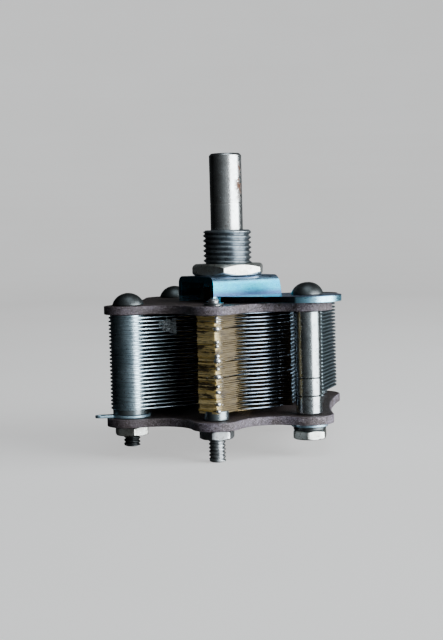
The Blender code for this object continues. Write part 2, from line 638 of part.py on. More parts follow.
pillar_top = TOP_PLATE_UNDER - CONTACT_GAP
for name, length in zip(("pillar_tube_long", "pillar_tube_middle", "pillar_tube_lower"), PILLAR_LENGTHS):
    washer(name, FRONT_RIGHT, PILLAR_RADIUS, SCREW_HOLE, pillar_top - length, pillar_top, NICKEL, 16)
    pillar_top -= length + THIN_GAP

# ---- lower bearing -------------------------------------------------------
bearing_bore = PIVOT_RADIUS + FIT_GAP
bearing_neck = LOWER_BEARING_HOLE - CONTACT_GAP
bearing_seat = BOTTOM_PLATE_TOP + CONTACT_GAP
bearing_bottom = BOTTOM_PLATE_UNDER - BEARING_BELOW_PLATE
flange_top = bearing_seat + BEARING_FLANGE_HEIGHT
turned("lower_bearing", [
    (BEARING_FLANGE, flange_top), (BEARING_FLANGE, bearing_seat), (bearing_neck, bearing_seat),
    (bearing_neck, bearing_bottom), (bearing_bore, bearing_bottom), (bearing_bore, flange_top)],
    24, (0, 0), BRASS)
washer("thrust_washer", (0, 0), THRUST_WASHER_RADIUS, bearing_bore, flange_top + THIN_GAP,
       SHAFT_SHOULDER - THIN_GAP, BRASS, 24)


def retaining_clip(top):
    """An open ring that grips the lower end of the shaft."""
    outline = arc((0, 0), CLIP_RADIUS, CLIP_GAP, 2 * pi - CLIP_GAP, 16)
    outline += arc((0, 0), PIVOT_RADIUS + FIT_GAP, 2 * pi - CLIP_GAP, CLIP_GAP, 16)
    return sheet("shaft_retaining_clip", [outline], top - CLIP_SHEET, top, STEEL)


retaining_clip(bearing_bottom - CONTACT_GAP)

for made in PARTS.objects:
    smooth(made)
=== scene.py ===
"""Looks of the variable tuning capacitor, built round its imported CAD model.

Metres, +Z up the shaft.  The camera stands in front, along -Y.
"""
import bmesh
import bpy
import numpy as np
from math import atan2, ceil, cos, hypot, pi, radians, sin, sqrt, tan
from mathutils import Matrix, Vector, noise
from mathutils.geometry import tessellate_polygon


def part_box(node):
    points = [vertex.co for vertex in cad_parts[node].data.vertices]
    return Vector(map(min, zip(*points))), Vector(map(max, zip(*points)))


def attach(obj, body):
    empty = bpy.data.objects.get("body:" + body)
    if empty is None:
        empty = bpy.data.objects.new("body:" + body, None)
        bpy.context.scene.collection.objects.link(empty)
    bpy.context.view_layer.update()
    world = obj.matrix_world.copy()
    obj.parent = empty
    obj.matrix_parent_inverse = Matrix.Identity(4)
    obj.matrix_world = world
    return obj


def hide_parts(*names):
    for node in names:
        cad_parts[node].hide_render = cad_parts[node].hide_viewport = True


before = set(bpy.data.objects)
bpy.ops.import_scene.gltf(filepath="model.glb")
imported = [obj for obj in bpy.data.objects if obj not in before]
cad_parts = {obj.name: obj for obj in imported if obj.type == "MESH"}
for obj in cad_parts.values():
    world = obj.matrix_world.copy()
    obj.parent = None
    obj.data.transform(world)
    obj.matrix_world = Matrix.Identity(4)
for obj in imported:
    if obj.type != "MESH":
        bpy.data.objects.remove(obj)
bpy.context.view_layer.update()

mm = 0.001
RNG = np.random.default_rng(7)


# ---- places taken from the CAD nodes ----
def middle(node):
    low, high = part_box(node)
    return ((low.x + high.x) / 2, (low.y + high.y) / 2)


def span(node):
    """Lowest and highest z of a CAD node."""
    low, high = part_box(node)
    return low.z, high.z


def half_width(node):
    low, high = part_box(node)
    return (high.x - low.x) / 2


AXIS = (0.0, 0.0)
FRONT_LEFT = middle("screw_front_left")
FRONT_STUD = middle("front_stud")
FRONT_RIGHT = middle("screw_front_right")
REAR_RIGHT = middle("screw_rear_right")
REAR_LEFT = middle("screw_rear_left")
TOP_LOW = span("top_end_plate")[0]
BOTTOM_HIGH = span("bottom_end_plate")[1]


# ---- materials ----
def set_stops(color_ramp, stops):
    """Fill a colour ramp from (position, colour) pairs; a plain number stands for a grey."""
    while len(color_ramp.elements) < len(stops):
        color_ramp.elements.new(0.5)
    for element, (position, color) in zip(color_ramp.elements, stops):
        if isinstance(color, (int, float)):
            color = (color, color, color)
        element.position = position
        element.color = (*color, 1.0)


class Nodes:
    """Short ways to chain shader nodes in the node tree of a material or a world."""

    def __init__(self, owner, coordinates):
        owner.use_nodes = True
        self.tree = owner.node_tree
        self.coordinates = self.node("ShaderNodeTexCoord").outputs[coordinates]

    def feed(self, socket, value):
        if isinstance(value, bpy.types.NodeSocket):
            self.tree.links.new(value, socket)
        else:
            socket.default_value = value

    def node(self, kind, **inputs):
        made = self.tree.nodes.new(kind)
        for key, value in inputs.items():
            self.feed(made.inputs[key.replace("_", " ")], value)
        return made

    def axes(self, vector):
        """The X, Y and Z outputs of a vector."""
        return self.node("ShaderNodeSeparateXYZ", Vector=vector).outputs

    def place(self):
        return self.axes(self.coordinates)

    def stretched(self, scale):
        """Object coordinates in metres times a scale for each axis."""
        return self.node("ShaderNodeMapping", Vector=self.coordinates, Scale=scale).outputs["Vector"]

    def noise(self, size, steps=5, rough=0.55, stretch=(1, 1, 1)):
        """Noise whose features are about size metres wide, in steps octaves."""
        scale = tuple(s / size for s in stretch)
        return self.node("ShaderNodeTexNoise", Vector=self.stretched(scale), Scale=1.0, Detail=steps,
                         Roughness=rough).outputs["Fac"]

    def ramp(self, value, *stops):
        made = self.node("ShaderNodeValToRGB", Fac=value)
        set_stops(made.color_ramp, stops)
        return made.outputs["Color"]

    def fade(self, value, low, high, top=1.0):
        """0 where value is below low, rising to top where it is above high."""
        return self.ramp(value, (low, 0.0), (high, top))

    def between(self, value, low, high):
        """From low to high where the value goes from 0.3 to 0.7, the range of most noise."""
        return self.ramp(value, (0.3, low), (0.7, high))

    def mix(self, factor, first, second):
        made = self.node("ShaderNodeMix")
        made.data_type = "RGBA"
        self.feed(made.inputs["Factor"], factor)
        colors = [socket for socket in made.inputs if socket.type == "RGBA"]
        for socket, value in zip(colors, (first, second)):
            self.feed(socket, (*value, 1.0) if isinstance(value, tuple) else value)
        return next(socket for socket in made.outputs if socket.type == "RGBA")

    def math(self, operation, first, second=0.0, third=None):
        made = self.node("ShaderNodeMath")
        made.operation = operation
        for socket, value in zip(made.inputs, (first, second, third)):
            if value is not None:
                self.feed(socket, value)
        return made.outputs[0]

    def times(self, first, second):
        return self.math("MULTIPLY", first, second)


class Finish(Nodes):
    """A Principled material whose sockets are fed by small node chains."""

    def __init__(self, name, metallic=0.0, **constants):
        self.material = bpy.data.materials.new(name)
        super().__init__(self.material, "Object")
        self.shader = self.tree.nodes["Principled BSDF"]
        for key, value in {"Metallic": metallic, **constants}.items():
            self.shader.inputs[key.replace("_", " ")].default_value = value

    def attribute(self, name):
        made = self.node("ShaderNodeAttribute")
        made.attribute_name = name
        return made.outputs["Fac"]

    def normal(self):
        return self.axes(self.node("ShaderNodeNewGeometry").outputs["Normal"])

    def done(self, color, roughness=None, height=None, distance=0.0, strength=0.0):
        """Feed the shader, with bumps of that height if one is given, and give the material."""
        self.feed(self.shader.inputs["Base Color"], color)
        if roughness:
            self.feed(self.shader.inputs["Roughness"], roughness)
        if height:
            bump = self.node("ShaderNodeBump", Height=height, Distance=distance, Strength=strength)
            self.feed(self.shader.inputs["Normal"], bump.outputs["Normal"])
        return self.material

    def cloudy(self, clouds, bright, dull, high=0.68):
        return self.mix(self.fade(clouds, 0.35, high), bright, dull)

    def grained(self, grain, color):
        """The colour with the darker lines of a directional grain."""
        return self.mix(self.between(grain, 0.78, 1.0), (0, 0, 0), color)

    def blend(self, spots, grain):
        """The height that spots and grain give together."""
        return self.math("ADD", self.times(spots, 0.6), self.times(grain, 0.4))


# The dark used for painted shade and for grime.
SHADE_AND_GRIME = (0.022, 0.022, 0.026)
GRAIN_SIZE = 0.25 * mm


def worn_metal(name, bright, dull, stain, rough_low, rough_high, stain_amount=0.5, grain=(1, 1, 1),
               shaded_face_tone=None, shade_reach=None):
    """Plated metal with cloudy tarnish, small dark stains and a directional grain.

    The face tone is a painted shade on faces that look up or down, the faces between stacked plates;
    surfaces nearer to the shaft's axis than the given reach are painted dark, a painted shade deep in the
    pack.
    """
    look = Finish(name, metallic=1.0)
    spots = look.noise(0.7 * mm, 6, 0.7)
    fine = look.noise(GRAIN_SIZE, 3, stretch=grain)
    base = look.cloudy(look.noise(2.6 * mm), bright, dull)
    edge = 0.66 - 0.2 * stain_amount
    color = look.grained(fine, look.mix(look.fade(spots, edge, edge + 0.14), base, stain))
    if shaded_face_tone:
        # Painted shade: faces that look up or down, between the stacked plates, take the darker face tone.
        level = look.math("ABSOLUTE", look.normal()["Z"])
        color = look.mix(look.fade(level, 0.70, 0.92, 0.9), color, shaded_face_tone)
    # Painted shade: darker nearer to the shaft's axis, deep inside the plate pack.
    if shade_reach:
        reach = look.node("ShaderNodeVectorMath")
        reach.operation = "LENGTH"
        look.feed(reach.inputs[0], look.stretched((0.5 / shade_reach, 0.5 / shade_reach, 0)))
        color = look.mix(look.ramp(reach.outputs["Value"], (0.43, 0.93), (0.53, 0.0)), color, SHADE_AND_GRIME)
    # Darker in the thread grooves: grime and painted shade.
    color = look.mix(look.fade(look.attribute("groove"), 0.40, 1.0, 0.5), color, SHADE_AND_GRIME)
    mixed = look.blend(spots, fine)
    return look.done(color, look.between(mixed, rough_low, rough_high), mixed, 0.02 * mm, 0.6)


def rusted_shaft():
    """Turned steel with brown spots and a bare ring high on one side."""
    look = Finish("shaft_steel", metallic=1.0)
    spots = look.noise(0.55 * mm, 6, 0.7)
    grain = look.noise(0.22 * mm, 3, stretch=(1, 1, 0.4))
    patches = look.noise(1.5 * mm, 6, 0.68)
    place = look.place()
    side = look.fade(look.times(place["X"], 200.0), 0.30, 0.46)
    height = look.times(place["Z"], 40.0)
    zone = look.ramp(height, (0.56, 0.0), (0.66, 1.0), (0.84, 1.0), (0.92, 0.0))
    ringed = look.ramp(height, (0.545, 0.0), (0.555, 0.5), (0.566, 0.5), (0.576, 0.0))
    base = look.cloudy(look.noise(2.8 * mm), (0.80, 0.84, 0.86), (0.56, 0.58, 0.58))
    stained = look.mix(look.fade(spots, 0.58, 0.70), base, (0.20, 0.15, 0.12))
    rust = look.times(look.times(side, zone), look.fade(patches, 0.47, 0.53))
    rusted = look.mix(rust, stained, (0.13, 0.075, 0.055))
    color = look.grained(grain, look.mix(ringed, rusted, (0.95, 0.97, 0.97)))
    mixed = look.blend(spots, grain)
    rough = look.mix(rust, look.between(mixed, 0.17, 0.32), (0.6, 0.6, 0.6))
    return look.done(color, rough, mixed, 0.02 * mm, 0.6)


def bakelite():
    """Dark paper laminate whose sawn rim is rough, flaky and paler."""
    look = Finish("bakelite_laminate")
    clouds = look.noise(3.5 * mm, 6, 0.6)
    flakes = look.noise(0.42 * mm, 6, 0.75, stretch=(1, 1, 1.6))
    specks = look.noise(0.17 * mm, 4, 0.8)
    body = look.cloudy(clouds, (0.016, 0.010, 0.010), (0.040, 0.027, 0.026), 0.7)
    dusty = look.mix(look.fade(specks, 0.56, 0.70, 0.6), body, (0.15, 0.115, 0.11))
    worn = look.mix(look.fade(clouds, 0.38, 0.62), (0.085, 0.066, 0.070), (0.17, 0.15, 0.20))
    flaked = look.mix(look.fade(specks, 0.53, 0.62, 0.95), worn, (0.46, 0.42, 0.48))
    # The pale rubbed rim fades towards the left: wear, with painted shade on the left side.
    across = look.math("MULTIPLY_ADD", look.place()["X"], 25.0, 0.5)
    rim = look.times(look.attribute("rim"), look.ramp(across, (0.0, 0.45), (0.42, 0.85), (0.80, 1.0)))
    rubbed_with_left_shade = look.times(rim, look.ramp(flakes, (0.42, 0.08), (0.55, 1.0)))
    color = look.mix(rubbed_with_left_shade, dusty, flaked)
    height = look.math("ADD", flakes, specks)
    return look.done(color, look.between(flakes, 0.42, 0.75), height, 0.09 * mm, 0.9)


def amber():
    """Varnished film: honey at the front, darker on the right flank with dust and painted shade."""
    look = Finish("amber_film", Transmission_Weight=0.05, IOR=1.48)
    across = look.math("MULTIPLY_ADD", look.place()["X"], 50.0, 0.5)
    tone = look.noise(0.30 * mm, 3, stretch=(0.12, 0.12, 1))
    blotch = look.noise(1.6 * mm, 5, 0.6, stretch=(0.4, 0.4, 2.2))
    streak = look.noise(0.10 * mm, 2, stretch=(0.05, 0.05, 1))
    level = look.fade(look.attribute("level"), 0.2, 0.8)
    varnish = look.mix(level, (0.62, 0.44, 0.13), (0.88, 0.70, 0.33))
    # The right flank is darker: dust and painted shade.
    dusty = look.mix(look.fade(tone, 0.35, 0.65), (0.085, 0.058, 0.018), (0.155, 0.115, 0.052))
    honey = look.mix(look.fade(across, 0.375, 0.42), varnish, dusty)
    smudge = look.times(look.fade(blotch, 0.53, 0.60, 0.95), look.ramp(across, (0.40, 1.0), (0.46, 0.35)))
    sheets = look.mix(smudge, honey, (0.030, 0.019, 0.010))
    color = look.mix(look.ramp(streak, (0.33, 0.25), (0.52, 1.0)), (0.03, 0.018, 0.008), sheets)
    return look.done(color, look.between(blotch, 0.25, 0.5), tone, 0.03 * mm, 0.5)


def shaded_film():
    """Painted shade: a dark, dull copy of the film for the sheets between the vanes."""
    look = Finish("amber_film_painted_shade", Specular_IOR_Level=0.0)
    cloud = look.noise(1.2 * mm, stretch=(0.4, 0.4, 2.2))
    color = look.between(cloud, (0.010, 0.008, 0.006), (0.030, 0.022, 0.014))
    return look.done(color, look.between(cloud, 0.8, 0.95))


def plated_sheet():
    """The bracket's bright zinc, with painted shade low on its wall and on the foot's front edge that faces
    left, and painted light on faces that look up.
    """
    look = Finish("bright_zinc_with_raw_edge", metallic=1.0)
    clouds = look.noise(2.2 * mm)
    specks = look.noise(0.28 * mm, 5, 0.75)
    grain = look.noise(0.25 * mm, 3, stretch=(0.25, 0.25, 1.5))
    base = look.cloudy(clouds, (0.0, 0.27, 0.37), (0.0, 0.20, 0.34), 0.7)
    speckled = look.mix(look.fade(specks, 0.57, 0.68, 0.75), base, (0.02, 0.05, 0.09))
    normal = look.normal()
    depth = look.times(look.place()["Z"], -200.0)
    # Painted shade on the foot's low front edge that faces left.
    turned_away = look.fade(look.times(normal["X"], -1.0), 0.36, 0.42)
    facing = look.fade(look.times(normal["Y"], -1.0), 0.55, 0.75)
    low = look.fade(depth, 0.715, 0.755)
    left_front_shade = look.times(look.times(turned_away, facing), low)
    pale = look.cloudy(clouds, (0.36, 0.72, 0.88), (0.20, 0.52, 0.74), 0.7)
    lobe = look.mix(look.fade(specks, 0.57, 0.68, 0.6), pale, (0.06, 0.10, 0.16))
    # Painted shade low on the wall, towards the bend into the foot.
    low_wall_shade = look.ramp(depth, (0.46, 0.0), (0.66, 0.94), (0.75, 0.94), (0.78, 0.0))
    lower = look.mix(low_wall_shade, look.mix(low, speckled, lobe), (0.04, 0.075, 0.15))
    # Painted light on faces that look up.
    painted_top_light = look.mix(look.fade(normal["Z"], 0.25, 0.75, 0.8), lower, (0.34, 0.42, 0.58))
    painted_edge_shade = look.mix(look.fade(specks, 0.45, 0.65), (0.010, 0.009, 0.012), (0.030, 0.025, 0.030))
    color = look.mix(left_front_shade, painted_top_light, painted_edge_shade)
    return look.done(color, look.between(grain, 0.24, 0.42), look.math("ADD", specks, grain), 0.02 * mm, 0.5)


# Each metal: bright, dull and stain colours, lowest and highest roughness, amount of stain.
NICKEL = worn_metal("worn_nickel", (0.76, 0.80, 0.83), (0.44, 0.47, 0.49), (0.13, 0.10, 0.08),
                    0.24, 0.42, 0.45)
BUSH_METAL = worn_metal("bush_nickel", (0.46, 0.53, 0.58), (0.24, 0.28, 0.31), (0.07, 0.06, 0.06), 0.26, 0.42)
NUT_METAL = worn_metal("nut_nickel", (0.84, 0.89, 0.87), (0.56, 0.57, 0.52), (0.20, 0.14, 0.10), 0.24, 0.45)
TAG_METAL = worn_metal("tag_zinc", (0.58, 0.82, 0.96), (0.40, 0.58, 0.72), (0.08, 0.10, 0.12),
                       0.40, 0.60, 0.3)
TARNISHED_BRASS = worn_metal("tarnished_brass", (0.075, 0.055, 0.030), (0.045, 0.035, 0.022),
                             (0.02, 0.015, 0.01), 0.35, 0.55, 0.4)
WASHER_METAL = worn_metal("washer_steel", (0.34, 0.40, 0.43), (0.20, 0.25, 0.28), (0.05, 0.05, 0.06),
                          0.24, 0.40, 0.4)
PILLAR_METAL = worn_metal("pillar_steel", (0.50, 0.55, 0.57), (0.30, 0.34, 0.36), (0.09, 0.08, 0.075),
                          0.18, 0.32, 0.45, grain=(1, 1, 0.35))
TINNED = worn_metal("tinned_tips", (0.99, 1.0, 1.0), (0.93, 0.96, 0.98), (0.55, 0.52, 0.46), 0.34, 0.46, 0.1)
DARK_STEEL = worn_metal("oxidised_steel", (0.115, 0.13, 0.135), (0.075, 0.082, 0.085), (0.03, 0.028, 0.026),
                        0.34, 0.50, 0.4)
# The plate and vane sheets carry painted shade on their flat faces; the stator plates also nearer to the
# axis.
PLATE_METAL = worn_metal("plate_sheet", (0.62, 0.80, 0.90), (0.34, 0.47, 0.55), (0.10, 0.12, 0.14),
                         0.22, 0.40, 0.4, grain=(1, 1, 3), shaded_face_tone=(0.25, 0.29, 0.31),
                         shade_reach=15.2 * mm)
VANE_METAL = worn_metal("vane_sheet", (0.27, 0.335, 0.42), (0.14, 0.18, 0.24), (0.04, 0.045, 0.05),
                        0.20, 0.34, 0.4, grain=(1, 1, 3), shaded_face_tone=(0.10, 0.12, 0.15))
BRASS = worn_metal("dull_brass", (0.66, 0.50, 0.25), (0.44, 0.33, 0.16), (0.10, 0.07, 0.04), 0.28, 0.45, 0.4)
SHAFT_METAL = rusted_shaft()
BAKELITE = bakelite()
AMBER = amber()
SHADED_FILM = shaded_film()
PLATED = plated_sheet()


# ---- mesh tools ----
def mesh_object(name, verts, faces, finish, sharp=35, weld=True):
    mesh = bpy.data.meshes.new(name)
    mesh.from_pydata([tuple(v) for v in verts], [], faces)
    body = bmesh.new()
    body.from_mesh(mesh)
    if weld:
        bmesh.ops.remove_doubles(body, verts=body.verts, dist=1e-7)
    bmesh.ops.recalc_face_normals(body, faces=body.faces)
    body.to_mesh(mesh)
    body.free()
    mesh.shade_smooth()
    mesh.set_sharp_from_angle(angle=radians(sharp))
    mesh.materials.append(finish)
    made = bpy.data.objects.new(name, mesh)
    bpy.context.scene.collection.objects.link(made)
    return made


def add_attribute(made, name, values):
    attribute = made.data.attributes.new(name, "FLOAT", "POINT")
    attribute.data.foreach_set("value", np.array(values, np.float32))


def settle(made, node, body="frame"):
    """Ride a piece on its body and hide the CAD node that it stands for."""
    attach(made, body)
    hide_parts(node)


class Heap:
    """Several closed shells gathered into one mesh, with one value for each shell."""

    def __init__(self):
        self.verts, self.faces, self.values = [], [], []

    def add(self, verts, faces, value):
        start = len(self.verts)
        self.verts += verts
        self.faces += [[start + i for i in face] for face in faces]
        self.values += [value] * len(verts)

    def build(self, name, finish, sharp=35):
        made = mesh_object(name, self.verts, self.faces, finish, sharp, weld=False)
        add_attribute(made, "level", self.values)
        return made


def arc(center, radius, start, end, steps):
    angles = [start + (end - start) * i / steps for i in range(steps + 1)]
    return [(center[0] + radius * cos(a), center[1] + radius * sin(a)) for a in angles]


def arc_left(center, radius, start, end, steps):
    """An arc that runs counter-clockwise, whatever turns the two angles are given in."""
    return arc(center, radius, start, start + (end - start) % (2 * pi), steps)


def arc_right(center, radius, start, end, steps):
    return arc_left(center, radius, end, start, steps)[::-1]


def circle(center, radius, sides=48):
    return arc(center, radius, 0, 2 * pi, sides)[:-1]


def hole(center, radius, sides=40):
    return circle(center, radius, sides)[::-1]


def direction(p, q):
    return atan2(q[1] - p[1], q[0] - p[0])


def supported(profile, reach=0.05 * mm):
    """The profile with extra points beside its corners, so that long sides shade evenly."""
    fine = []
    for index, (r, z) in enumerate(profile):
        fine.append((r, z))
        last = index == len(profile) - 1
        next_r, next_z = profile[0] if last else profile[index + 1]
        length = hypot(next_r - r, next_z - z)
        if length > 5 * reach and not (last and profile[0][0] <= 0):
            for share in (reach / length, 1 - reach / length):
                fine.append((r + (next_r - r) * share, z + (next_z - z) * share))
    return fine


def ring_faces(first, second):
    """Faces between two closed rows of vertices; either row may be a single point."""
    count = max(len(first), len(second))
    faces = []
    for i in range(count):
        j = (i + 1) % count
        face = list(dict.fromkeys((first[i % len(first)], second[i % len(second)],
                                   second[j % len(second)], first[j % len(first)])))
        if len(face) > 2:
            faces.append(face)
    return faces


def loft(rings, closed=False):
    """Faces between rows of vertices, and from the last back to the first if closed."""
    faces = []
    for upper, lower in zip(rings, rings[1:] + rings[:1] if closed else rings[1:]):
        faces += ring_faces(upper, lower)
    return faces


def revolve(profile, center=AXIS, segments=64):
    """Verts and faces of a turned solid: profile (radius, z) down the outside, then up the bore."""
    verts, rings = [], []
    for radius, z in supported(profile):
        points = circle(center, radius, segments) if radius > 0 else [center]
        rings.append(range(len(verts), len(verts) + len(points)))
        verts += [(x, y, z) for x, y in points]
    return verts, loft(rings, closed=profile[0][0] > 0)


def turned(name, profile, finish, center=AXIS, segments=64, sharp=35):
    verts, faces = revolve(profile, center, segments)
    return mesh_object(name, verts, faces, finish, sharp)


def sleeve(bore, outer, low, high, soft):
    """The profile of a ring or tube with softened outer edges."""
    return [(bore, high), (outer - soft, high), (outer, high - soft), (outer, low + soft),
            (outer - soft, low), (bore, low)]


def inset_loop(points, distance):
    """The loop moved to the left of its own direction, which is into the material."""
    p = np.array(points)
    before = p - np.roll(p, 1, axis=0)
    after = np.roll(p, -1, axis=0) - p
    before /= np.linalg.norm(before, axis=1)[:, None] + 1e-12
    after /= np.linalg.norm(after, axis=1)[:, None] + 1e-12
    heading = before + after
    heading /= np.linalg.norm(heading, axis=1)[:, None] + 1e-12
    left = np.stack([-heading[:, 1], heading[:, 0]], axis=1)
    cosine = np.clip((before * heading).sum(1), 0.5, 1)
    return [tuple(moved) for moved in p + left * (distance / cosine)[:, None]]


def plate(loops, bottom, top, bevel=0.05 * mm, bevel_steps=2, border=0.0):
    """Verts, faces and rim weights of a flat plate with rounded edges.

    The first loop is the outline, counter-clockwise; the others are holes, clockwise.
    """
    levels = []
    for k in range(bevel_steps + 1):
        angle = pi / 2 * k / bevel_steps
        levels.append((bevel * (1 - sin(angle)), top - bevel * (1 - cos(angle)), 1.0))
    levels += [(inset, bottom + top - z, weight) for inset, z, weight in reversed(levels)]
    if border:
        levels = [(border, top, 0.0)] + levels + [(border, bottom, 0.0)]
    verts, faces, weights = [], [], []
    caps, cap_index = ([], []), ([], [])
    for loop in loops:
        rings = []
        for inset, z, weight in levels:
            points = inset_loop(loop, inset)
            rings.append(range(len(verts), len(verts) + len(points)))
            verts += [(x, y, z) for x, y in points]
            weights += [weight] * len(points)
        faces += loft(rings)
        for side, ring in enumerate((rings[0], rings[-1])):
            caps[side].append([Vector(verts[i]) for i in ring])
            cap_index[side].extend(ring)
    for cap, index in zip(caps, cap_index):
        faces += [[index[i] for i in triangle] for triangle in tessellate_polygon(cap)]
    return verts, faces, weights


# ---- end plates ----
FRONT_LOBE = 4.69 * mm
REAR_LOBE = 6.2 * mm
SCREW_HOLE = 1.75 * mm
RIVET_HOLE = 1.3 * mm
UPPER_SHAFT_HOLE = 4.6 * mm
LOWER_SHAFT_HOLE = 4.0 * mm
POSTS = [FRONT_LEFT, FRONT_STUD, FRONT_RIGHT, REAR_RIGHT, REAR_LEFT]
PLATE_LOBES = list(zip(POSTS, (FRONT_LOBE, FRONT_LOBE, FRONT_LOBE, REAR_LOBE, REAR_LOBE)))
PLATE_WAISTS = [0.2 * mm, 0.1 * mm, 4.1 * mm, 5.0 * mm, 3.6 * mm]
RIM_DENTS = 0.03 * mm
RIVET_CENTER = middle("bracket_rivet")


def waist_arc(p, p_radius, q, q_radius, waist):
    """Centre and radius of the hollow arc that touches the lobes round p and q."""
    gap = hypot(q[0] - p[0], q[1] - p[1])
    low, high = 0.0, 1.0
    for _ in range(60):
        radius = (low + high) / 2
        lift = (q_radius - p_radius) * (p_radius + q_radius + 2 * radius)
        along = (gap * gap - lift) / (2 * gap)
        if along ** 2 + (waist + radius) ** 2 > (p_radius + radius) ** 2:
            low = radius
        else:
            high = radius
    forward = Vector((q[0] - p[0], q[1] - p[1])) / gap
    outward = Vector((forward.y, -forward.x))
    center = Vector(p) + forward * along + outward * (waist + radius)
    return (center.x, center.y), radius


def waist_points(waist, p, q, steps):
    """The hollow arc from the lobe round p to the lobe round q, without its ends."""
    center, radius = waist
    return arc_right(center, radius, direction(center, p), direction(center, q), steps)[1:-1]


def lobe_points(center, radius, before, after, steps):
    """The arc of a lobe between the waists before and after it."""
    return arc_left(center, radius, direction(center, before[0]), direction(center, after[0]), steps)


def plate_outline():
    following = PLATE_LOBES[1:] + PLATE_LOBES[:1]
    waists = [waist_arc(*lobe, *after, waist)
              for lobe, after, waist in zip(PLATE_LOBES, following, PLATE_WAISTS)]
    points = []
    for i, (center, radius) in enumerate(PLATE_LOBES):
        points += lobe_points(center, radius, waists[i - 1], waists[i], 30)
        points += waist_points(waists[i], center, following[i][0], 18)
    return points


def wobble(points, amount, size, seed):
    """The outline with small uneven dents and bulges."""
    moved = []
    for x, y in points:
        place = Vector((x / size, y / size, seed))
        moved.append((x + amount * noise.noise(place), y + amount * noise.noise(place + Vector((9, 3, 5)))))
    return moved


def end_plate(node, extra_holes, seed):
    low, high = span(node)
    outline = wobble(inset_loop(plate_outline(), RIM_DENTS), RIM_DENTS, 1.5 * mm, seed)
    loops = [outline] + [hole(post, SCREW_HOLE) for post in POSTS] + extra_holes
    verts, faces, weights = plate(loops, low, high, bevel=0.13 * mm, bevel_steps=3, border=0.45 * mm)
    made = mesh_object(node + "_laminate", verts, faces, BAKELITE, 50)
    add_attribute(made, "rim", weights[:len(made.data.vertices)])
    settle(made, node)


end_plate("top_end_plate", [hole(AXIS, UPPER_SHAFT_HOLE, 60), hole(RIVET_CENTER, RIVET_HOLE)], 1.0)
end_plate("bottom_end_plate", [hole(AXIS, LOWER_SHAFT_HOLE, 60)], 5.0)

# ---- bracket ----
BRACKET_TURN = radians(30)
BRACKET_SHEET = 1.2 * mm
BRACKET_LENGTH = 14.7 * mm
BRACKET_WIDTH = 14.0 * mm
BRACKET_FLARE = 0.8 * mm
BEND_RADIUS = 1.5 * mm
FOOT_REACH = 6.5 * mm
REAR_FOOT_REACH = 3.0 * mm
BUSH_SEAT_HOLE = 4.1 * mm
PIN_HOLE = 0.5 * mm
FOOT_BOTTOM = span("mounting_bracket")[0]
FOOT_TOP = FOOT_BOTTOM + BRACKET_SHEET
ALONG = Vector((cos(BRACKET_TURN), sin(BRACKET_TURN)))
ACROSS = Vector((-ALONG.y, ALONG.x))


def bracket_point(u, w):
    point = ALONG * u + ACROSS * w
    return (point.x, point.y)


def solid_sheet(name, outline, bottom, top):
    """A flat plate with square edges, closed, for use in booleans."""
    count = len(outline)
    verts = [(x, y, z) for z in (top, bottom) for x, y in outline]
    faces = ring_faces(range(count), range(count, 2 * count))
    for start in (0, count):
        cap = [Vector(vert) for vert in verts[start:start + count]]
        faces += [[start + i for i in triangle] for triangle in tessellate_polygon([cap])]
    return mesh_object(name, verts, faces, PLATED, 30)


def bake_modifiers(made):
    """Turn the object's modifiers into its own mesh."""
    bpy.context.view_layer.update()
    graph = bpy.context.evaluated_depsgraph_get()
    mesh = bpy.data.meshes.new_from_object(made.evaluated_get(graph))
    made.modifiers.clear()
    made.data = mesh


def cut(made, operation, other):
    modifier = made.modifiers.new(operation, "BOOLEAN")
    modifier.operation = operation
    modifier.solver = "EXACT"
    modifier.object = other
    bake_modifiers(made)
    bpy.data.objects.remove(other, do_unlink=True)


def folded_channel():
    """The bent sheet under the bush, slightly wider along its lower edges."""
    half = BRACKET_WIDTH / 2
    bend = half - BEND_RADIUS
    inner = BEND_RADIUS - BRACKET_SHEET
    inner_half = half - BRACKET_SHEET
    section = [(half, FOOT_BOTTOM)] + arc((bend, -BEND_RADIUS), BEND_RADIUS, 0, pi / 2, 14)
    section += arc((-bend, -BEND_RADIUS), BEND_RADIUS, pi / 2, pi, 14) + [(-half, FOOT_BOTTOM)]
    section += [(-inner_half, FOOT_BOTTOM)] + arc((-bend, -BEND_RADIUS), inner, pi, pi / 2, 6)
    section += arc((bend, -BEND_RADIUS), inner, pi / 2, 0, 6) + [(inner_half, FOOT_BOTTOM)]
    channel = solid_sheet("folded_bracket", section, -BRACKET_LENGTH / 2, BRACKET_LENGTH / 2)
    for vert in channel.data.vertices:
        across, height, along = vert.co
        if along > 0:
            along += BRACKET_FLARE * height / FOOT_BOTTOM
        place = ALONG * along + ACROSS * across
        vert.co = (place.x, place.y, height)
    return channel


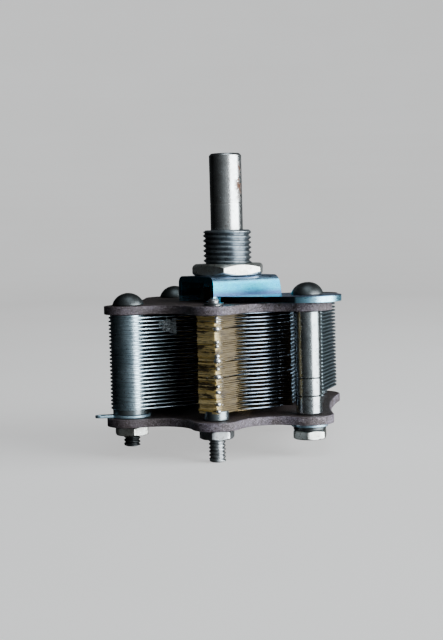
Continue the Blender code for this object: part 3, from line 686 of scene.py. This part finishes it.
def mounting_bracket():
    channel = folded_channel()
    reach = BRACKET_LENGTH / 2
    wall_out = -BRACKET_WIDTH / 2
    wall_in = wall_out + BRACKET_SHEET * 0.7
    front = [bracket_point(-reach + 1 * mm, wall_in), bracket_point(-reach + 1 * mm, wall_out - 1 * mm)]
    front += arc(FRONT_RIGHT, FOOT_REACH, radians(-118), radians(62), 48)
    front += [bracket_point(reach + 0.5 * mm, wall_in)]
    rear = [bracket_point(reach * 0.55, -wall_in)]
    rear += arc(RIVET_CENTER, REAR_FOOT_REACH, BRACKET_TURN, BRACKET_TURN + pi, 28)
    rear += [bracket_point(-reach * 0.75, -wall_in)]
    for outline in (front, rear):
        cut(channel, "UNION", solid_sheet("foot", outline, FOOT_BOTTOM, FOOT_TOP))
    for center, radius, low, high in ((AXIS, BUSH_SEAT_HOLE, -2 * mm, mm),
                                      (middle("stop_pin"), PIN_HOLE, -2 * mm, mm),
                                      (FRONT_RIGHT, SCREW_HOLE, -6 * mm, -3 * mm),
                                      (RIVET_CENTER, RIVET_HOLE, -6 * mm, -3 * mm)):
        cut(channel, "DIFFERENCE", solid_sheet("cutter", circle(center, radius), low, high))
    weld = channel.modifiers.new("weld", "WELD")
    weld.merge_threshold = 0.002 * mm
    flatten = channel.modifiers.new("flatten", "DECIMATE")
    flatten.decimate_type = "DISSOLVE"
    flatten.angle_limit = radians(1)
    bevel = channel.modifiers.new("bevel", "BEVEL")
    bevel.width = 0.09 * mm
    bevel.segments = 2
    bevel.limit_method = "ANGLE"
    bevel.angle_limit = radians(40)
    bevel.harden_normals = True
    channel.data.shade_smooth()
    bake_modifiers(channel)
    settle(channel, "mounting_bracket")


mounting_bracket()


# ---- threads, nuts and screws ----
def thread_rows(radius, depth, pitch, bottom, top, lead, steps=12):
    """Rows of height, outer radius and depth; the thread fades out over lead at both ends."""
    count = ceil((top - bottom) / pitch * steps)
    rows = []
    for i in range(count + 1):
        z = top + (bottom - top) * i / count
        fade = min(1.0, (top - z) / lead + 0.15, (z - bottom) / lead + 0.15)
        rows.append((z, radius, depth * fade))
    return rows


def threaded(name, center, above, rows, below, pitch, finish, segments=72, seed=0.0):
    """A turned piece whose middle carries a helical thread.

    above and below are (radius, z) profiles; a closed top or bottom has radius 0.
    """
    verts, rings, grooves = [], [], []

    def ring(points, groove):
        rings.append(range(len(verts), len(verts) + len(points)))
        verts.extend(points)
        grooves.extend(groove)

    def plain(profile):
        for r, z in profile:
            points = circle(center, r, segments) if r > 0 else [center]
            ring([(x, y, z) for x, y in points], [0.0] * len(points))

    plain(above)
    for z, radius, depth in rows:
        points, waves = [], []
        for k in range(segments):
            angle = 2 * pi * k / segments
            phase = (z / pitch + k / segments) % 1.0
            wave = min(1.0, max(0.0, (abs(2 * phase - 1) - 0.12) / 0.76))
            dent = noise.noise(Vector((cos(angle) * 1.5 + seed, sin(angle) * 1.5, z / (0.8 * mm))))
            r = radius - depth * wave - 0.02 * mm * abs(dent)
            waves.append(wave)
            points.append((center[0] + r * cos(angle), center[1] + r * sin(angle), z))
        ring(points, waves)
    plain(below)
    made = mesh_object(name, verts, loft(rings, closed=len(rings[0]) > 1), finish, 50)
    if len(made.data.vertices) == len(verts):
        add_attribute(made, "groove", grooves)
    return made


def nut(node, center, flats, bore, turn, finish, top_cut=0.97, bottom_cut=0.97, steepness=28):
    """A hexagon nut with its corners turned off at the faces."""
    bottom, top = span(node)
    slope = tan(radians(steepness))
    soften = 0.06 * mm

    def hexagon(a):
        """The six flats with slightly rounded corners."""
        corner = flats / sqrt(3)
        r = flats / 2 / cos((a - turn) % (pi / 3) - pi / 6)
        return min(r, corner - 0.12 * mm + 0.04 * mm * (r / corner))

    def half(height, sign, share):
        """Rows of radius and height, from the bore over the face to the flats."""
        edge = flats / 2 * share

        def fall(r):
            return height - sign * max(0.0, r - edge) * slope

        return [(lambda a: bore, lambda r: height - sign * 0.25 * mm),
                (lambda a: bore + 0.25 * mm, lambda r: height),
                (lambda a: edge, fall), (lambda a: hexagon(a) - soften, fall),
                (hexagon, lambda r: fall(r) - sign * soften * 0.8)]

    angles = [turn + pi / 3 * k / 12 for k in range(72)]
    verts, rings = [], []
    for radius_of, height_of in half(top, 1, top_cut) + half(bottom, -1, bottom_cut)[::-1]:
        rings.append(range(len(verts), len(verts) + len(angles)))
        for a in angles:
            r = radius_of(a)
            verts.append((center[0] + r * cos(a), center[1] + r * sin(a), height_of(r)))
    settle(mesh_object(node + "_chamfered", verts, loft(rings, closed=True), finish, 28), node)


BUSH_RADIUS = 4.7625 * mm
BUSH_PITCH = 0.977 * mm
BUSH_BORE = 3.28 * mm
BUSH_SPIGOT = 4.02 * mm
BUSH_FLANGE = 4.7 * mm
FLANGE_TOP = -1.3 * mm


def threaded_bush():
    low, high = span("threaded_bush")
    rows = thread_rows(BUSH_RADIUS, 0.48 * mm, BUSH_PITCH, 0.12 * mm, high - 0.35 * mm, 0.5 * mm, 14)
    above = [(BUSH_BORE, high - 0.2 * mm), (BUSH_BORE + 0.2 * mm, high), (BUSH_RADIUS - 0.55 * mm, high)]
    below = [(BUSH_SPIGOT, 0.1 * mm), (BUSH_SPIGOT, FLANGE_TOP), (BUSH_FLANGE, FLANGE_TOP),
             (BUSH_FLANGE, low), (BUSH_BORE, low)]
    bush = threaded("bush_with_thread", AXIS, above, rows, below, BUSH_PITCH, BUSH_METAL, 96)
    settle(bush, "threaded_bush")


threaded_bush()
nut("panel_nut", AXIS, 13.36 * mm, 4.84 * mm, radians(24.5), NUT_METAL, top_cut=0.96, bottom_cut=0.985,
    steepness=30)

NUT_FLATS = 5.98 * mm
NUT_BORE = 1.7 * mm
for node, post, turn, metal in (("nut_front_left", FRONT_LEFT, -78, NUT_METAL),
                                ("nut_front_stud", FRONT_STUD, -105, NICKEL),
                                ("nut_front_right", FRONT_RIGHT, -100, NUT_METAL),
                                ("nut_rear_right", REAR_RIGHT, 10, NUT_METAL),
                                ("nut_rear_left", REAR_LEFT, 25, NUT_METAL)):
    nut(node, post, NUT_FLATS, NUT_BORE, radians(turn), metal)

THREAD_RADIUS = 1.6 * mm
THREAD_PITCH = 0.7 * mm
THREAD_DEPTH = 0.30 * mm
THREAD_LEAD = 0.35 * mm
DOME_RADIUS = 3.05 * mm
DOME_HEIGHT = 2.3 * mm
DOME_SKIRT = 0.12 * mm
STUD_FLANGE = 1.9 * mm
STUD_FLANGE_HEIGHT = 0.35 * mm
STUD_TIP_HEIGHT = 1.2 * mm


def screw_rows(low, high):
    return thread_rows(THREAD_RADIUS, THREAD_DEPTH, THREAD_PITCH, low + 0.2 * mm, high, THREAD_LEAD)


def domed_screw(node, center, seed):
    low, high = span(node)
    plain_end = BOTTOM_HIGH - 0.4 * mm
    seat = high - DOME_HEIGHT
    bulge = (DOME_RADIUS ** 2 + DOME_HEIGHT ** 2) / (2 * DOME_HEIGHT)
    edge = atan2(DOME_RADIUS, bulge - DOME_HEIGHT)
    above = []
    for k in range(17):
        angle = edge * k / 16
        share = (cos(angle) - cos(edge)) / (1 - cos(edge))
        above.append((bulge * sin(angle), seat + DOME_SKIRT + (DOME_HEIGHT - DOME_SKIRT) * share))
    above += [(DOME_RADIUS, seat + 0.05 * mm), (DOME_RADIUS - 0.06 * mm, seat), (THREAD_RADIUS, seat),
              (THREAD_RADIUS, plain_end)]
    below = [(THREAD_RADIUS - 0.42 * mm, low + 0.03 * mm), (THREAD_RADIUS - 0.5 * mm, low), (0, low)]
    made = threaded(node + "_turned", center, above, screw_rows(low, plain_end - 0.02 * mm), below,
                    THREAD_PITCH, DARK_STEEL, 48, seed)
    settle(made, node)


def front_stud():
    """The stud: a dark flange and a bright peened end on top, and a threaded shank."""
    low, high = span("front_stud")
    shank_top = high - STUD_TIP_HEIGHT
    flange_top = shank_top + STUD_FLANGE_HEIGHT
    flange = [(0, flange_top), (STUD_FLANGE - 0.08 * mm, flange_top), (STUD_FLANGE, flange_top - 0.08 * mm),
              (STUD_FLANGE, shank_top), (0, shank_top)]
    tip = [(0, high), (0.55 * mm, high - 0.03 * mm), (0.88 * mm, high - 0.16 * mm),
           (1.02 * mm, high - 0.38 * mm), (0.98 * mm, flange_top), (0, flange_top)]
    above = [(0, shank_top - 0.01 * mm), (THREAD_RADIUS, shank_top - 0.01 * mm),
             (THREAD_RADIUS, BOTTOM_HIGH + 0.1 * mm)]
    below = [(THREAD_RADIUS - 0.4 * mm, low + 0.03 * mm), (THREAD_RADIUS - 0.5 * mm, low), (0, low)]
    for made in (turned("front_stud_flange", flange, DARK_STEEL, FRONT_STUD),
                 turned("front_stud_peened_end", tip, NICKEL, FRONT_STUD),
                 threaded("front_stud_turned", FRONT_STUD, above, screw_rows(low, BOTTOM_HIGH), below,
                          THREAD_PITCH, NICKEL, 48, 20.0)):
        settle(made, "front_stud")


for index, (node, post) in enumerate((("screw_front_left", FRONT_LEFT), ("screw_front_right", FRONT_RIGHT),
                                      ("screw_rear_left", REAR_LEFT), ("screw_rear_right", REAR_RIGHT))):
    domed_screw(node, post, 3.0 * index)
front_stud()

# ---- shaft ----
SHAFT_RADIUS = 3.175 * mm
SHAFT_END_RADIUS = 2.3 * mm
RING_HEIGHT = 14.0 * mm
RING_DEPTH = 0.035 * mm


def shaft():
    """The control shaft, with a fine turned ring high on it and a thinner lower end."""
    low, high = span("shaft")
    shoulder = span("thrust_washer")[1] + 0.06 * mm
    profile = [(0, high), (SHAFT_RADIUS - 0.42 * mm, high), (SHAFT_RADIUS - 0.36 * mm, high - 0.04 * mm),
               (SHAFT_RADIUS - 0.04 * mm, high - 0.36 * mm), (SHAFT_RADIUS, high - 0.45 * mm)]
    profile += [(SHAFT_RADIUS, RING_HEIGHT + 0.14 * mm), (SHAFT_RADIUS - RING_DEPTH, RING_HEIGHT + 0.05 * mm),
                (SHAFT_RADIUS - RING_DEPTH, RING_HEIGHT - 0.05 * mm), (SHAFT_RADIUS, RING_HEIGHT - 0.14 * mm)]
    profile += [(SHAFT_RADIUS, shoulder), (SHAFT_END_RADIUS, shoulder), (SHAFT_END_RADIUS, low + 0.2 * mm),
                (SHAFT_END_RADIUS - 0.2 * mm, low), (0, low)]
    settle(turned("shaft_turned", profile, SHAFT_METAL, AXIS, 96, 25), "shaft", "rotor")


shaft()

# ---- plate packs ----
PITCH = 0.72 * mm
STATOR_COUNT = 25
VANE_COUNT = 26
FIRST_STATOR = -7.25 * mm
FIRST_VANE = FIRST_STATOR + PITCH / 2
VANE_RADIUS = 12.8 * mm
VANE_START = radians(-95)
HUB_RADIUS = 4.2 * mm
HUB_NOTCH = 5.5 * mm
SPACER_RADIUS = 3.48 * mm
SPACER_GAP = 0.135 * mm
STATOR_POSTS = [FRONT_LEFT, REAR_LEFT, REAR_RIGHT]
STATOR_FRONT_LOBE = 3.9 * mm
STATOR_REAR_LOBE = 5.6 * mm
SHEET_BEVEL = 0.06 * mm


def stator_outline():
    rear = waist_arc(REAR_RIGHT, STATOR_REAR_LOBE, REAR_LEFT, STATOR_REAR_LOBE, 4.4 * mm)
    left = waist_arc(REAR_LEFT, STATOR_REAR_LOBE, FRONT_LEFT, STATOR_FRONT_LOBE, 2.9 * mm)
    points = [(18.4 * mm, 2.0 * mm), (19.0 * mm, 9.0 * mm)]
    points += arc_left(REAR_RIGHT, STATOR_REAR_LOBE, radians(-25), direction(REAR_RIGHT, rear[0]), 14)
    points += waist_points(rear, REAR_RIGHT, REAR_LEFT, 10)
    points += lobe_points(REAR_LEFT, STATOR_REAR_LOBE, rear, left, 14)
    points += waist_points(left, REAR_LEFT, FRONT_LEFT, 10)
    points += arc_left(FRONT_LEFT, STATOR_FRONT_LOBE, direction(FRONT_LEFT, left[0]), radians(298), 18)
    points += [(-7.2 * mm, -6.5 * mm)]
    points += arc(AXIS, HUB_NOTCH, radians(202), radians(-8), 28)
    return points


def bent(verts, tilt, wave, seed):
    """Tilt and ripple a flat shell a little."""
    moved = []
    for x, y, height in verts:
        ripple = wave * noise.noise(Vector((x / (7 * mm), y / (7 * mm), seed)))
        moved.append((x, y, height + (tilt[0] * x + tilt[1] * y + ripple)))
    return moved


def stator_plates():
    heap = Heap()
    outline = stator_outline()
    for index in range(STATOR_COUNT):
        z = FIRST_STATOR - index * PITCH
        shape = inset_loop(outline, 0.02 * mm + 0.05 * mm * RNG.random())
        thick = (0.25 + 0.02 * RNG.random()) * mm
        loops = [shape] + [hole(post, SCREW_HOLE, 24) for post in STATOR_POSTS]
        verts, faces, _ = plate(loops, z - thick / 2, z + thick / 2, bevel=SHEET_BEVEL)
        heap.add(bent(verts, (0, 0), 0.05 * mm, index * 1.7), faces, RNG.random())
    settle(heap.build("stator_plates", PLATE_METAL), "stator_plate_pack")


def spacer_rings():
    """Round spacers between the stator plates on the three screws."""
    heap = Heap()
    for post in STATOR_POSTS:
        for index in range(STATOR_COUNT + 1):
            high = FIRST_STATOR - (index - 1) * PITCH - SPACER_GAP
            low = FIRST_STATOR - index * PITCH + SPACER_GAP
            if index == 0:
                high = TOP_LOW - 0.1 * mm
            if index == STATOR_COUNT:
                low = high - 0.25 * mm
            outer = SPACER_RADIUS + 0.12 * mm * (RNG.random() - 0.3)
            heap.add(*revolve(sleeve(SCREW_HOLE, outer, low, high, 0.05 * mm), post, 48), RNG.random())
    settle(heap.build("stator_spacers", PLATE_METAL), "stator_plate_pack")


def rotor_vanes():
    heap = Heap()
    outline = arc(AXIS, VANE_RADIUS, VANE_START, VANE_START + pi, 72)
    for index in range(VANE_COUNT):
        z = FIRST_VANE - index * PITCH
        thick = (0.24 + 0.02 * RNG.random()) * mm
        shape = inset_loop(outline, 0.02 * mm + 0.08 * mm * RNG.random())
        verts, faces, _ = plate([shape], z - thick / 2, z + thick / 2, bevel=SHEET_BEVEL)
        tilt = ((RNG.random() - 0.5) * 0.006, (RNG.random() - 0.5) * 0.006)
        heap.add(bent(verts, tilt, 0.04 * mm, 50 + index * 1.7), faces, RNG.random())
    low, high = span("rotor_vane_pack")
    heap.add(*revolve(sleeve(SHAFT_RADIUS + 0.05 * mm, HUB_RADIUS, low, high, 0.1 * mm)), 0.5)
    settle(heap.build("rotor_vanes", VANE_METAL), "rotor_vane_pack", "rotor")


stator_plates()
spacer_rings()
rotor_vanes()

# ---- dielectric sheets ----
FILM_COUNT = 50
FILM_THIN = 0.06 * mm
FILM_OVERHANG = 0.25 * mm    # how far the film pack stands past the outer stator plates
FILM_SHADE_START = 3.3 * mm
RECESSED = (-9.3, -15.2, -18.2)    # heights in mm where a sheet stands back and leaves a dark slit
TIP_PLACE = (-2.36 * mm, -19.0 * mm)
FRONT_TIPS = ((-7.15, 0.30), (-7.85, 0.28), (-9.20, 0.46), (-11.60, 0.34), (-12.40, 0.28), (-14.20, 0.38),
              (-15.10, 0.50), (-16.60, 0.30), (-18.05, 0.46), (-19.80, 0.28), (-20.90, 0.36), (-23.10, 0.38),
              (-24.45, 0.34))    # height and radius in mm


def film_outline():
    """Front corner at the stud, a tab at the right, a notch for the hub at the back."""
    points = [(-6.1 * mm, -16.4 * mm)]
    points += arc((-2.72 * mm, -18.72 * mm), 0.38 * mm, radians(-128), radians(-37), 6)
    points += [(x * mm, y * mm)
               for x, y in ((2.3, -12.9), (3.2, -11.9), (6.0, -10.5), (8.7, -8.5), (9.2, -9.0))]
    points += arc((10.6 * mm, -8.1 * mm), 1.2 * mm, radians(-105), 0, 7)
    points += [(12.0 * mm, -2.0 * mm), (12.2 * mm, 4.0 * mm), (HUB_NOTCH, 13 * mm), (HUB_NOTCH, 0)]
    points += arc(AXIS, HUB_NOTCH, 0, -pi, 24)[1:-1]
    points += [(-HUB_NOTCH, 0), (-HUB_NOTCH, 13 * mm), (-12.2 * mm, 3 * mm), (-12.0 * mm, -3.2 * mm),
               (-6.3 * mm, -4.6 * mm)]
    return points


def subdivided(points, longest):
    """The closed loop with its long sides cut into shorter ones."""
    fine = []
    for p, q in zip(points, points[1:] + points[:1]):
        parts = max(1, ceil(hypot(q[0] - p[0], q[1] - p[1]) / longest))
        fine += [(p[0] + (q[0] - p[0]) * k / parts, p[1] + (q[1] - p[1]) * k / parts) for k in range(parts)]
    return fine


def film_thickness(y, thick):
    """Thin between the plates and thick in front of them, round the stud."""
    share = min(1.0, max(0.0, (-y - 13.4 * mm) / (1.2 * mm)))
    return FILM_THIN + (thick - FILM_THIN) * share * share * (3 - 2 * share)


def dielectric_sheets():
    heap = Heap()
    outline = subdivided(film_outline(), 1.1 * mm)
    low = FIRST_STATOR - (STATOR_COUNT - 1) * PITCH - FILM_OVERHANG
    high = FIRST_STATOR + FILM_OVERHANG
    step = (high - low) / (FILM_COUNT - 1)
    for index in range(FILM_COUNT):
        z = high - index * step
        shift = 0.05 * mm * noise.noise(Vector((index * 0.37, 2.0, 0)))
        thick = (0.26 + 0.10 * RNG.random()) * mm
        inset = 0.02 * mm + 0.28 * mm * RNG.random() ** 2
        if min(abs(z / mm - height) for height in RECESSED) < 0.19:
            inset = 0.9 * mm
        slide = ((RNG.random() - 0.5) * 0.12 * mm, (RNG.random() - 0.5) * 0.10 * mm)
        shape = [(x + slide[0], y + slide[1]) for x, y in inset_loop(outline, inset)]
        loops = [shape, hole(FRONT_STUD, SCREW_HOLE, 20)]
        verts, faces, _ = plate(loops, -0.5, 0.5, bevel=0.04 * mm, border=0.10 * mm)
        placed = []
        for x, y, side in verts:
            outside = min(1.0, max(0.0, (-y - 12.6 * mm) / (1.5 * mm)))
            ripple = noise.noise(Vector((x / (3 * mm), y / (3 * mm), index * 0.31)))
            droop = shift * outside + 0.07 * mm * outside * ripple
            placed.append((x, y, z + droop + side * film_thickness(y, thick)))
        heap.add(placed, faces, RNG.random())
    made = heap.build("dielectric_sheets", AMBER, 40)
    # Faces to the right of and behind the front corner take the painted-shade copy of the film.
    made.data.materials.append(SHADED_FILM)
    for face in made.data.polygons:
        face.material_index = int(face.center.x > FILM_SHADE_START or face.center.y > -FILM_SHADE_START)
    settle(made, "dielectric_sheet_pack")


def front_tips():
    """Small bright beads of solder at the front corner of the sheets."""
    heap = Heap()
    for z, radius in FRONT_TIPS:
        profile = [(0, (z + 1.15 * radius) * mm)]
        profile += [(1.3 * radius * mm * sin(pi * k / 12), (z + 1.15 * radius * cos(pi * k / 12)) * mm)
                    for k in range(1, 12)]
        profile += [(0, (z - 1.15 * radius) * mm)]
        heap.add(*revolve(profile, TIP_PLACE, 24), 1.0)
    settle(heap.build("front_tips", TINNED, 60), "dielectric_sheet_pack")


dielectric_sheets()
front_tips()

# ---- lint ----
LINT_CLEARANCE = 13.45 * mm    # distance from the shaft's axis that stays clear of the turning vanes


def dust_fibres():
    """A wisp of lint on the front edges of the upper stator plates, worked out in mm."""
    heap = Heap()
    first, last = Vector((-13.4, -9.8)), Vector((-8.8, -7.4))
    for _ in range(140):
        share = 0.9 * RNG.beta(2.4, 1.9)
        place = first.lerp(last, share)
        place.y -= 0.15 + 0.35 * RNG.random()
        place *= max(1.0, LINT_CLEARANCE / mm / place.length)
        at = Vector((*place, -7.6 - 3.2 * RNG.beta(2, 2) * (0.6 + 0.6 * share)))
        heading = Vector(RNG.normal(0, 1, 3)).normalized()
        sway = Vector(RNG.normal(0, 1, 3)).normalized() * 0.12
        length, radius = 0.3 + 0.7 * RNG.random(), 0.045 + 0.03 * RNG.random()
        across = heading.orthogonal().normalized()
        other = heading.cross(across)
        verts = []
        for t in (-0.5, -0.25, 0.0, 0.25, 0.5):
            spot = at + heading * length * t + sway * (1 - 4 * t * t)
            verts += [tuple((spot + (across * cos(a) + other * sin(a)) * radius) * mm)
                      for a in (2 * pi * m / 5 for m in range(5))]
        rings = [list(range(start, start + 5)) for start in range(0, 25, 5)]
        heap.add(verts, [rings[0][::-1], rings[-1]] + loft(rings), RNG.random())
    look = Finish("pale_lint", Roughness=0.9)
    pale = look.done(look.between(look.noise(0.2 * mm, 4), (0.42, 0.48, 0.52), (0.66, 0.71, 0.74)))
    settle(heap.build("lint_on_plates", pale, 60), "stator_plate_pack")


dust_fibres()


# ---- washers, tubes and tags ----
def washer(node, finish, body="frame", inner=SCREW_HOLE, soft=0.06 * mm):
    low, high = span(node)
    outer = half_width(node)
    profile = sleeve(inner, outer, low, high, soft)
    profile.insert(2, (outer - soft * 0.3, high - soft * 0.3))
    profile.insert(5, (outer - soft * 0.3, low + soft * 0.3))
    settle(turned(node + "_soft", profile, finish, middle(node)), node, body)


def solder_tag(node, center, heading, ring_radius, tip, width, eye):
    """A ring with an arm to its eye: heading is the arm's direction, tip its reach."""
    low, high = span(node)
    neck = atan2(width / 2, sqrt(ring_radius ** 2 - (width / 2) ** 2))
    arm = tip - width / 2
    end = (center[0] + arm * cos(heading), center[1] + arm * sin(heading))
    outline = arc(center, ring_radius, heading + neck, heading + 2 * pi - neck, 60)
    outline += arc(end, width / 2, heading - pi / 2, heading + pi / 2, 20)
    loops = [outline, hole(center, SCREW_HOLE), hole(end, eye, 24)]
    verts, faces, _ = plate(loops, low, high, bevel=0.08 * mm, bevel_steps=3)
    settle(mesh_object(node + "_stamped", verts, faces, TAG_METAL), node)


for node in ("pillar_tube_long", "pillar_tube_middle", "pillar_tube_lower"):
    washer(node, PILLAR_METAL, soft=0.16 * mm)
for node in ("stator_washer_front_left", "stator_washer_rear_left", "stator_washer_rear_right"):
    washer(node, WASHER_METAL)
washer("film_clamp_washer", WASHER_METAL, soft=0.12 * mm)
washer("film_top_washer", DARK_STEEL)
washer("rotor_tag_washer", DARK_STEEL)
washer("thrust_washer", BRASS, "rotor", inner=2.38 * mm)
solder_tag("stator_solder_tag", FRONT_LEFT, radians(192), 3.67 * mm, 6.97 * mm, 2.0 * mm, 0.45 * mm)
solder_tag("rotor_solder_tag", FRONT_RIGHT, radians(150), 3.48 * mm, 7.98 * mm, 2.4 * mm, 0.6 * mm)

# ---- finishes of the CAD nodes that stay ----
for node, finish in (("bracket_rivet", DARK_STEEL), ("stop_pin", DARK_STEEL), ("stop_cam", TARNISHED_BRASS),
                     ("lower_bearing", BRASS), ("shaft_retaining_clip", DARK_STEEL)):
    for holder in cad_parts[node].material_slots:
        holder.material = finish

# ---- floor, light and camera ----
FLOOR = -34.2 * mm
WALL_RADIUS = 1.1
WALL_HEIGHT = 1.6
FLOOR_FILLET = 0.5
# How bright the surroundings are: across from left to right, from low to high, from front to back.
ACROSS_SKY = ((0.0, 0.012), (0.065, 0.03), (0.155, 0.06), (0.26, 0.11), (0.38, 0.19), (0.50, 0.31),
              (0.60, 0.42), (0.75, 0.40), (0.90, 0.22), (1.0, 0.16))
UP_SKY = ((0.0, 0.10), (0.35, 0.45), (0.50, 1.0), (0.62, 1.0), (0.80, 0.55), (1.0, 0.45))
DEPTH_SKY = ((0.0, 1.0), (0.48, 1.0), (0.60, 0.26), (0.80, 0.30), (1.0, 0.34))
SKY_TINT = (0.92, 0.97, 1.0)
LIGHT_TARGET = Vector((0, 0, -10 * mm))
CAMERA_PLACE = Vector((0, -0.270, 0.0093))
CAMERA_TURNS = (-0.0056, 0.067, -0.026)    # yaw, pitch and roll in radians
LENS = 77.2
scene = bpy.context.scene


def studio():
    """A pale floor that curves up into a round wall; metal parts don't mirror it."""
    start = WALL_RADIUS - FLOOR_FILLET
    profile = [(0.0, FLOOR), (0.3, FLOOR), (start, FLOOR)]
    profile += [(start + FLOOR_FILLET * sin(a), FLOOR + FLOOR_FILLET * (1 - cos(a)))
                for a in (pi / 2 * k / 40 for k in range(1, 41))]
    profile += [(WALL_RADIUS, FLOOR + WALL_HEIGHT)]
    look = Finish("pale_floor", Specular_IOR_Level=0.1, Roughness=0.9, Emission_Strength=0.62)
    glow = look.between(look.noise(90 * mm, 2), (0.97, 0.97, 0.96), 1.0)
    look.feed(look.shader.inputs["Emission Color"], glow)
    pale = look.done(look.between(look.noise(60 * mm, 2), 0.42, 0.45))
    made = turned("floor", profile, pale, AXIS, 128, 60)
    made.visible_glossy = made.visible_diffuse = made.visible_shadow = False


def surroundings():
    """What the metal mirrors: dark on the left, lighter on the right, and dim behind."""
    scene.world = bpy.data.worlds.new("studio")
    sky = Nodes(scene.world, "Generated")
    place = sky.place()
    across, up, depth = (
        sky.ramp(sky.node("ShaderNodeMapRange", Value=place[axis], From_Min=-1.0).outputs["Result"], *stops)
        for axis, stops in (("X", ACROSS_SKY), ("Z", UP_SKY), ("Y", DEPTH_SKY)))
    background = sky.tree.nodes["Background"]
    background.inputs["Color"].default_value = (*SKY_TINT, 1)
    sky.feed(background.inputs["Strength"], sky.times(sky.times(across, up), depth))


def softbox(name, azimuth, elevation, distance, width, height, power, color):
    """An area light that faces the object; azimuth is measured to the right of the camera."""
    a, e = radians(azimuth), radians(elevation)
    back = Vector((sin(a) * cos(e), -cos(a) * cos(e), sin(e)))
    light = bpy.data.lights.new(name, "AREA")
    light.shape = "RECTANGLE"
    light.size = width
    light.size_y = height
    light.energy = power
    light.color = color
    made = bpy.data.objects.new(name, light)
    made.location = LIGHT_TARGET + back * distance
    made.rotation_mode = "QUATERNION"
    made.rotation_quaternion = (-back).to_track_quat("-Z", "Y")
    made.visible_camera = False
    scene.collection.objects.link(made)


def camera():
    yaw, pitch, roll = CAMERA_TURNS
    forward = Vector((sin(yaw) * cos(pitch), cos(yaw) * cos(pitch), -sin(pitch)))
    flat_right = Vector((cos(yaw), -sin(yaw), 0))
    flat_up = flat_right.cross(forward)
    right = flat_right * cos(roll) + flat_up * sin(roll)
    up = flat_up * cos(roll) - flat_right * sin(roll)
    data = bpy.data.cameras.new("camera")
    data.lens = LENS
    made = bpy.data.objects.new("camera", data)
    turn = Matrix((right, up, -forward)).transposed()
    made.matrix_world = Matrix.Translation(CAMERA_PLACE) @ turn.to_4x4()
    scene.collection.objects.link(made)
    scene.camera = made


studio()
surroundings()
softbox("key_right", 64, 10, 0.55, 0.64, 0.52, 11.5, (0.95, 0.985, 1.0))
softbox("overhead", 25, 72, 0.60, 0.36, 0.36, 0.9, (0.85, 0.94, 1.0))
camera()
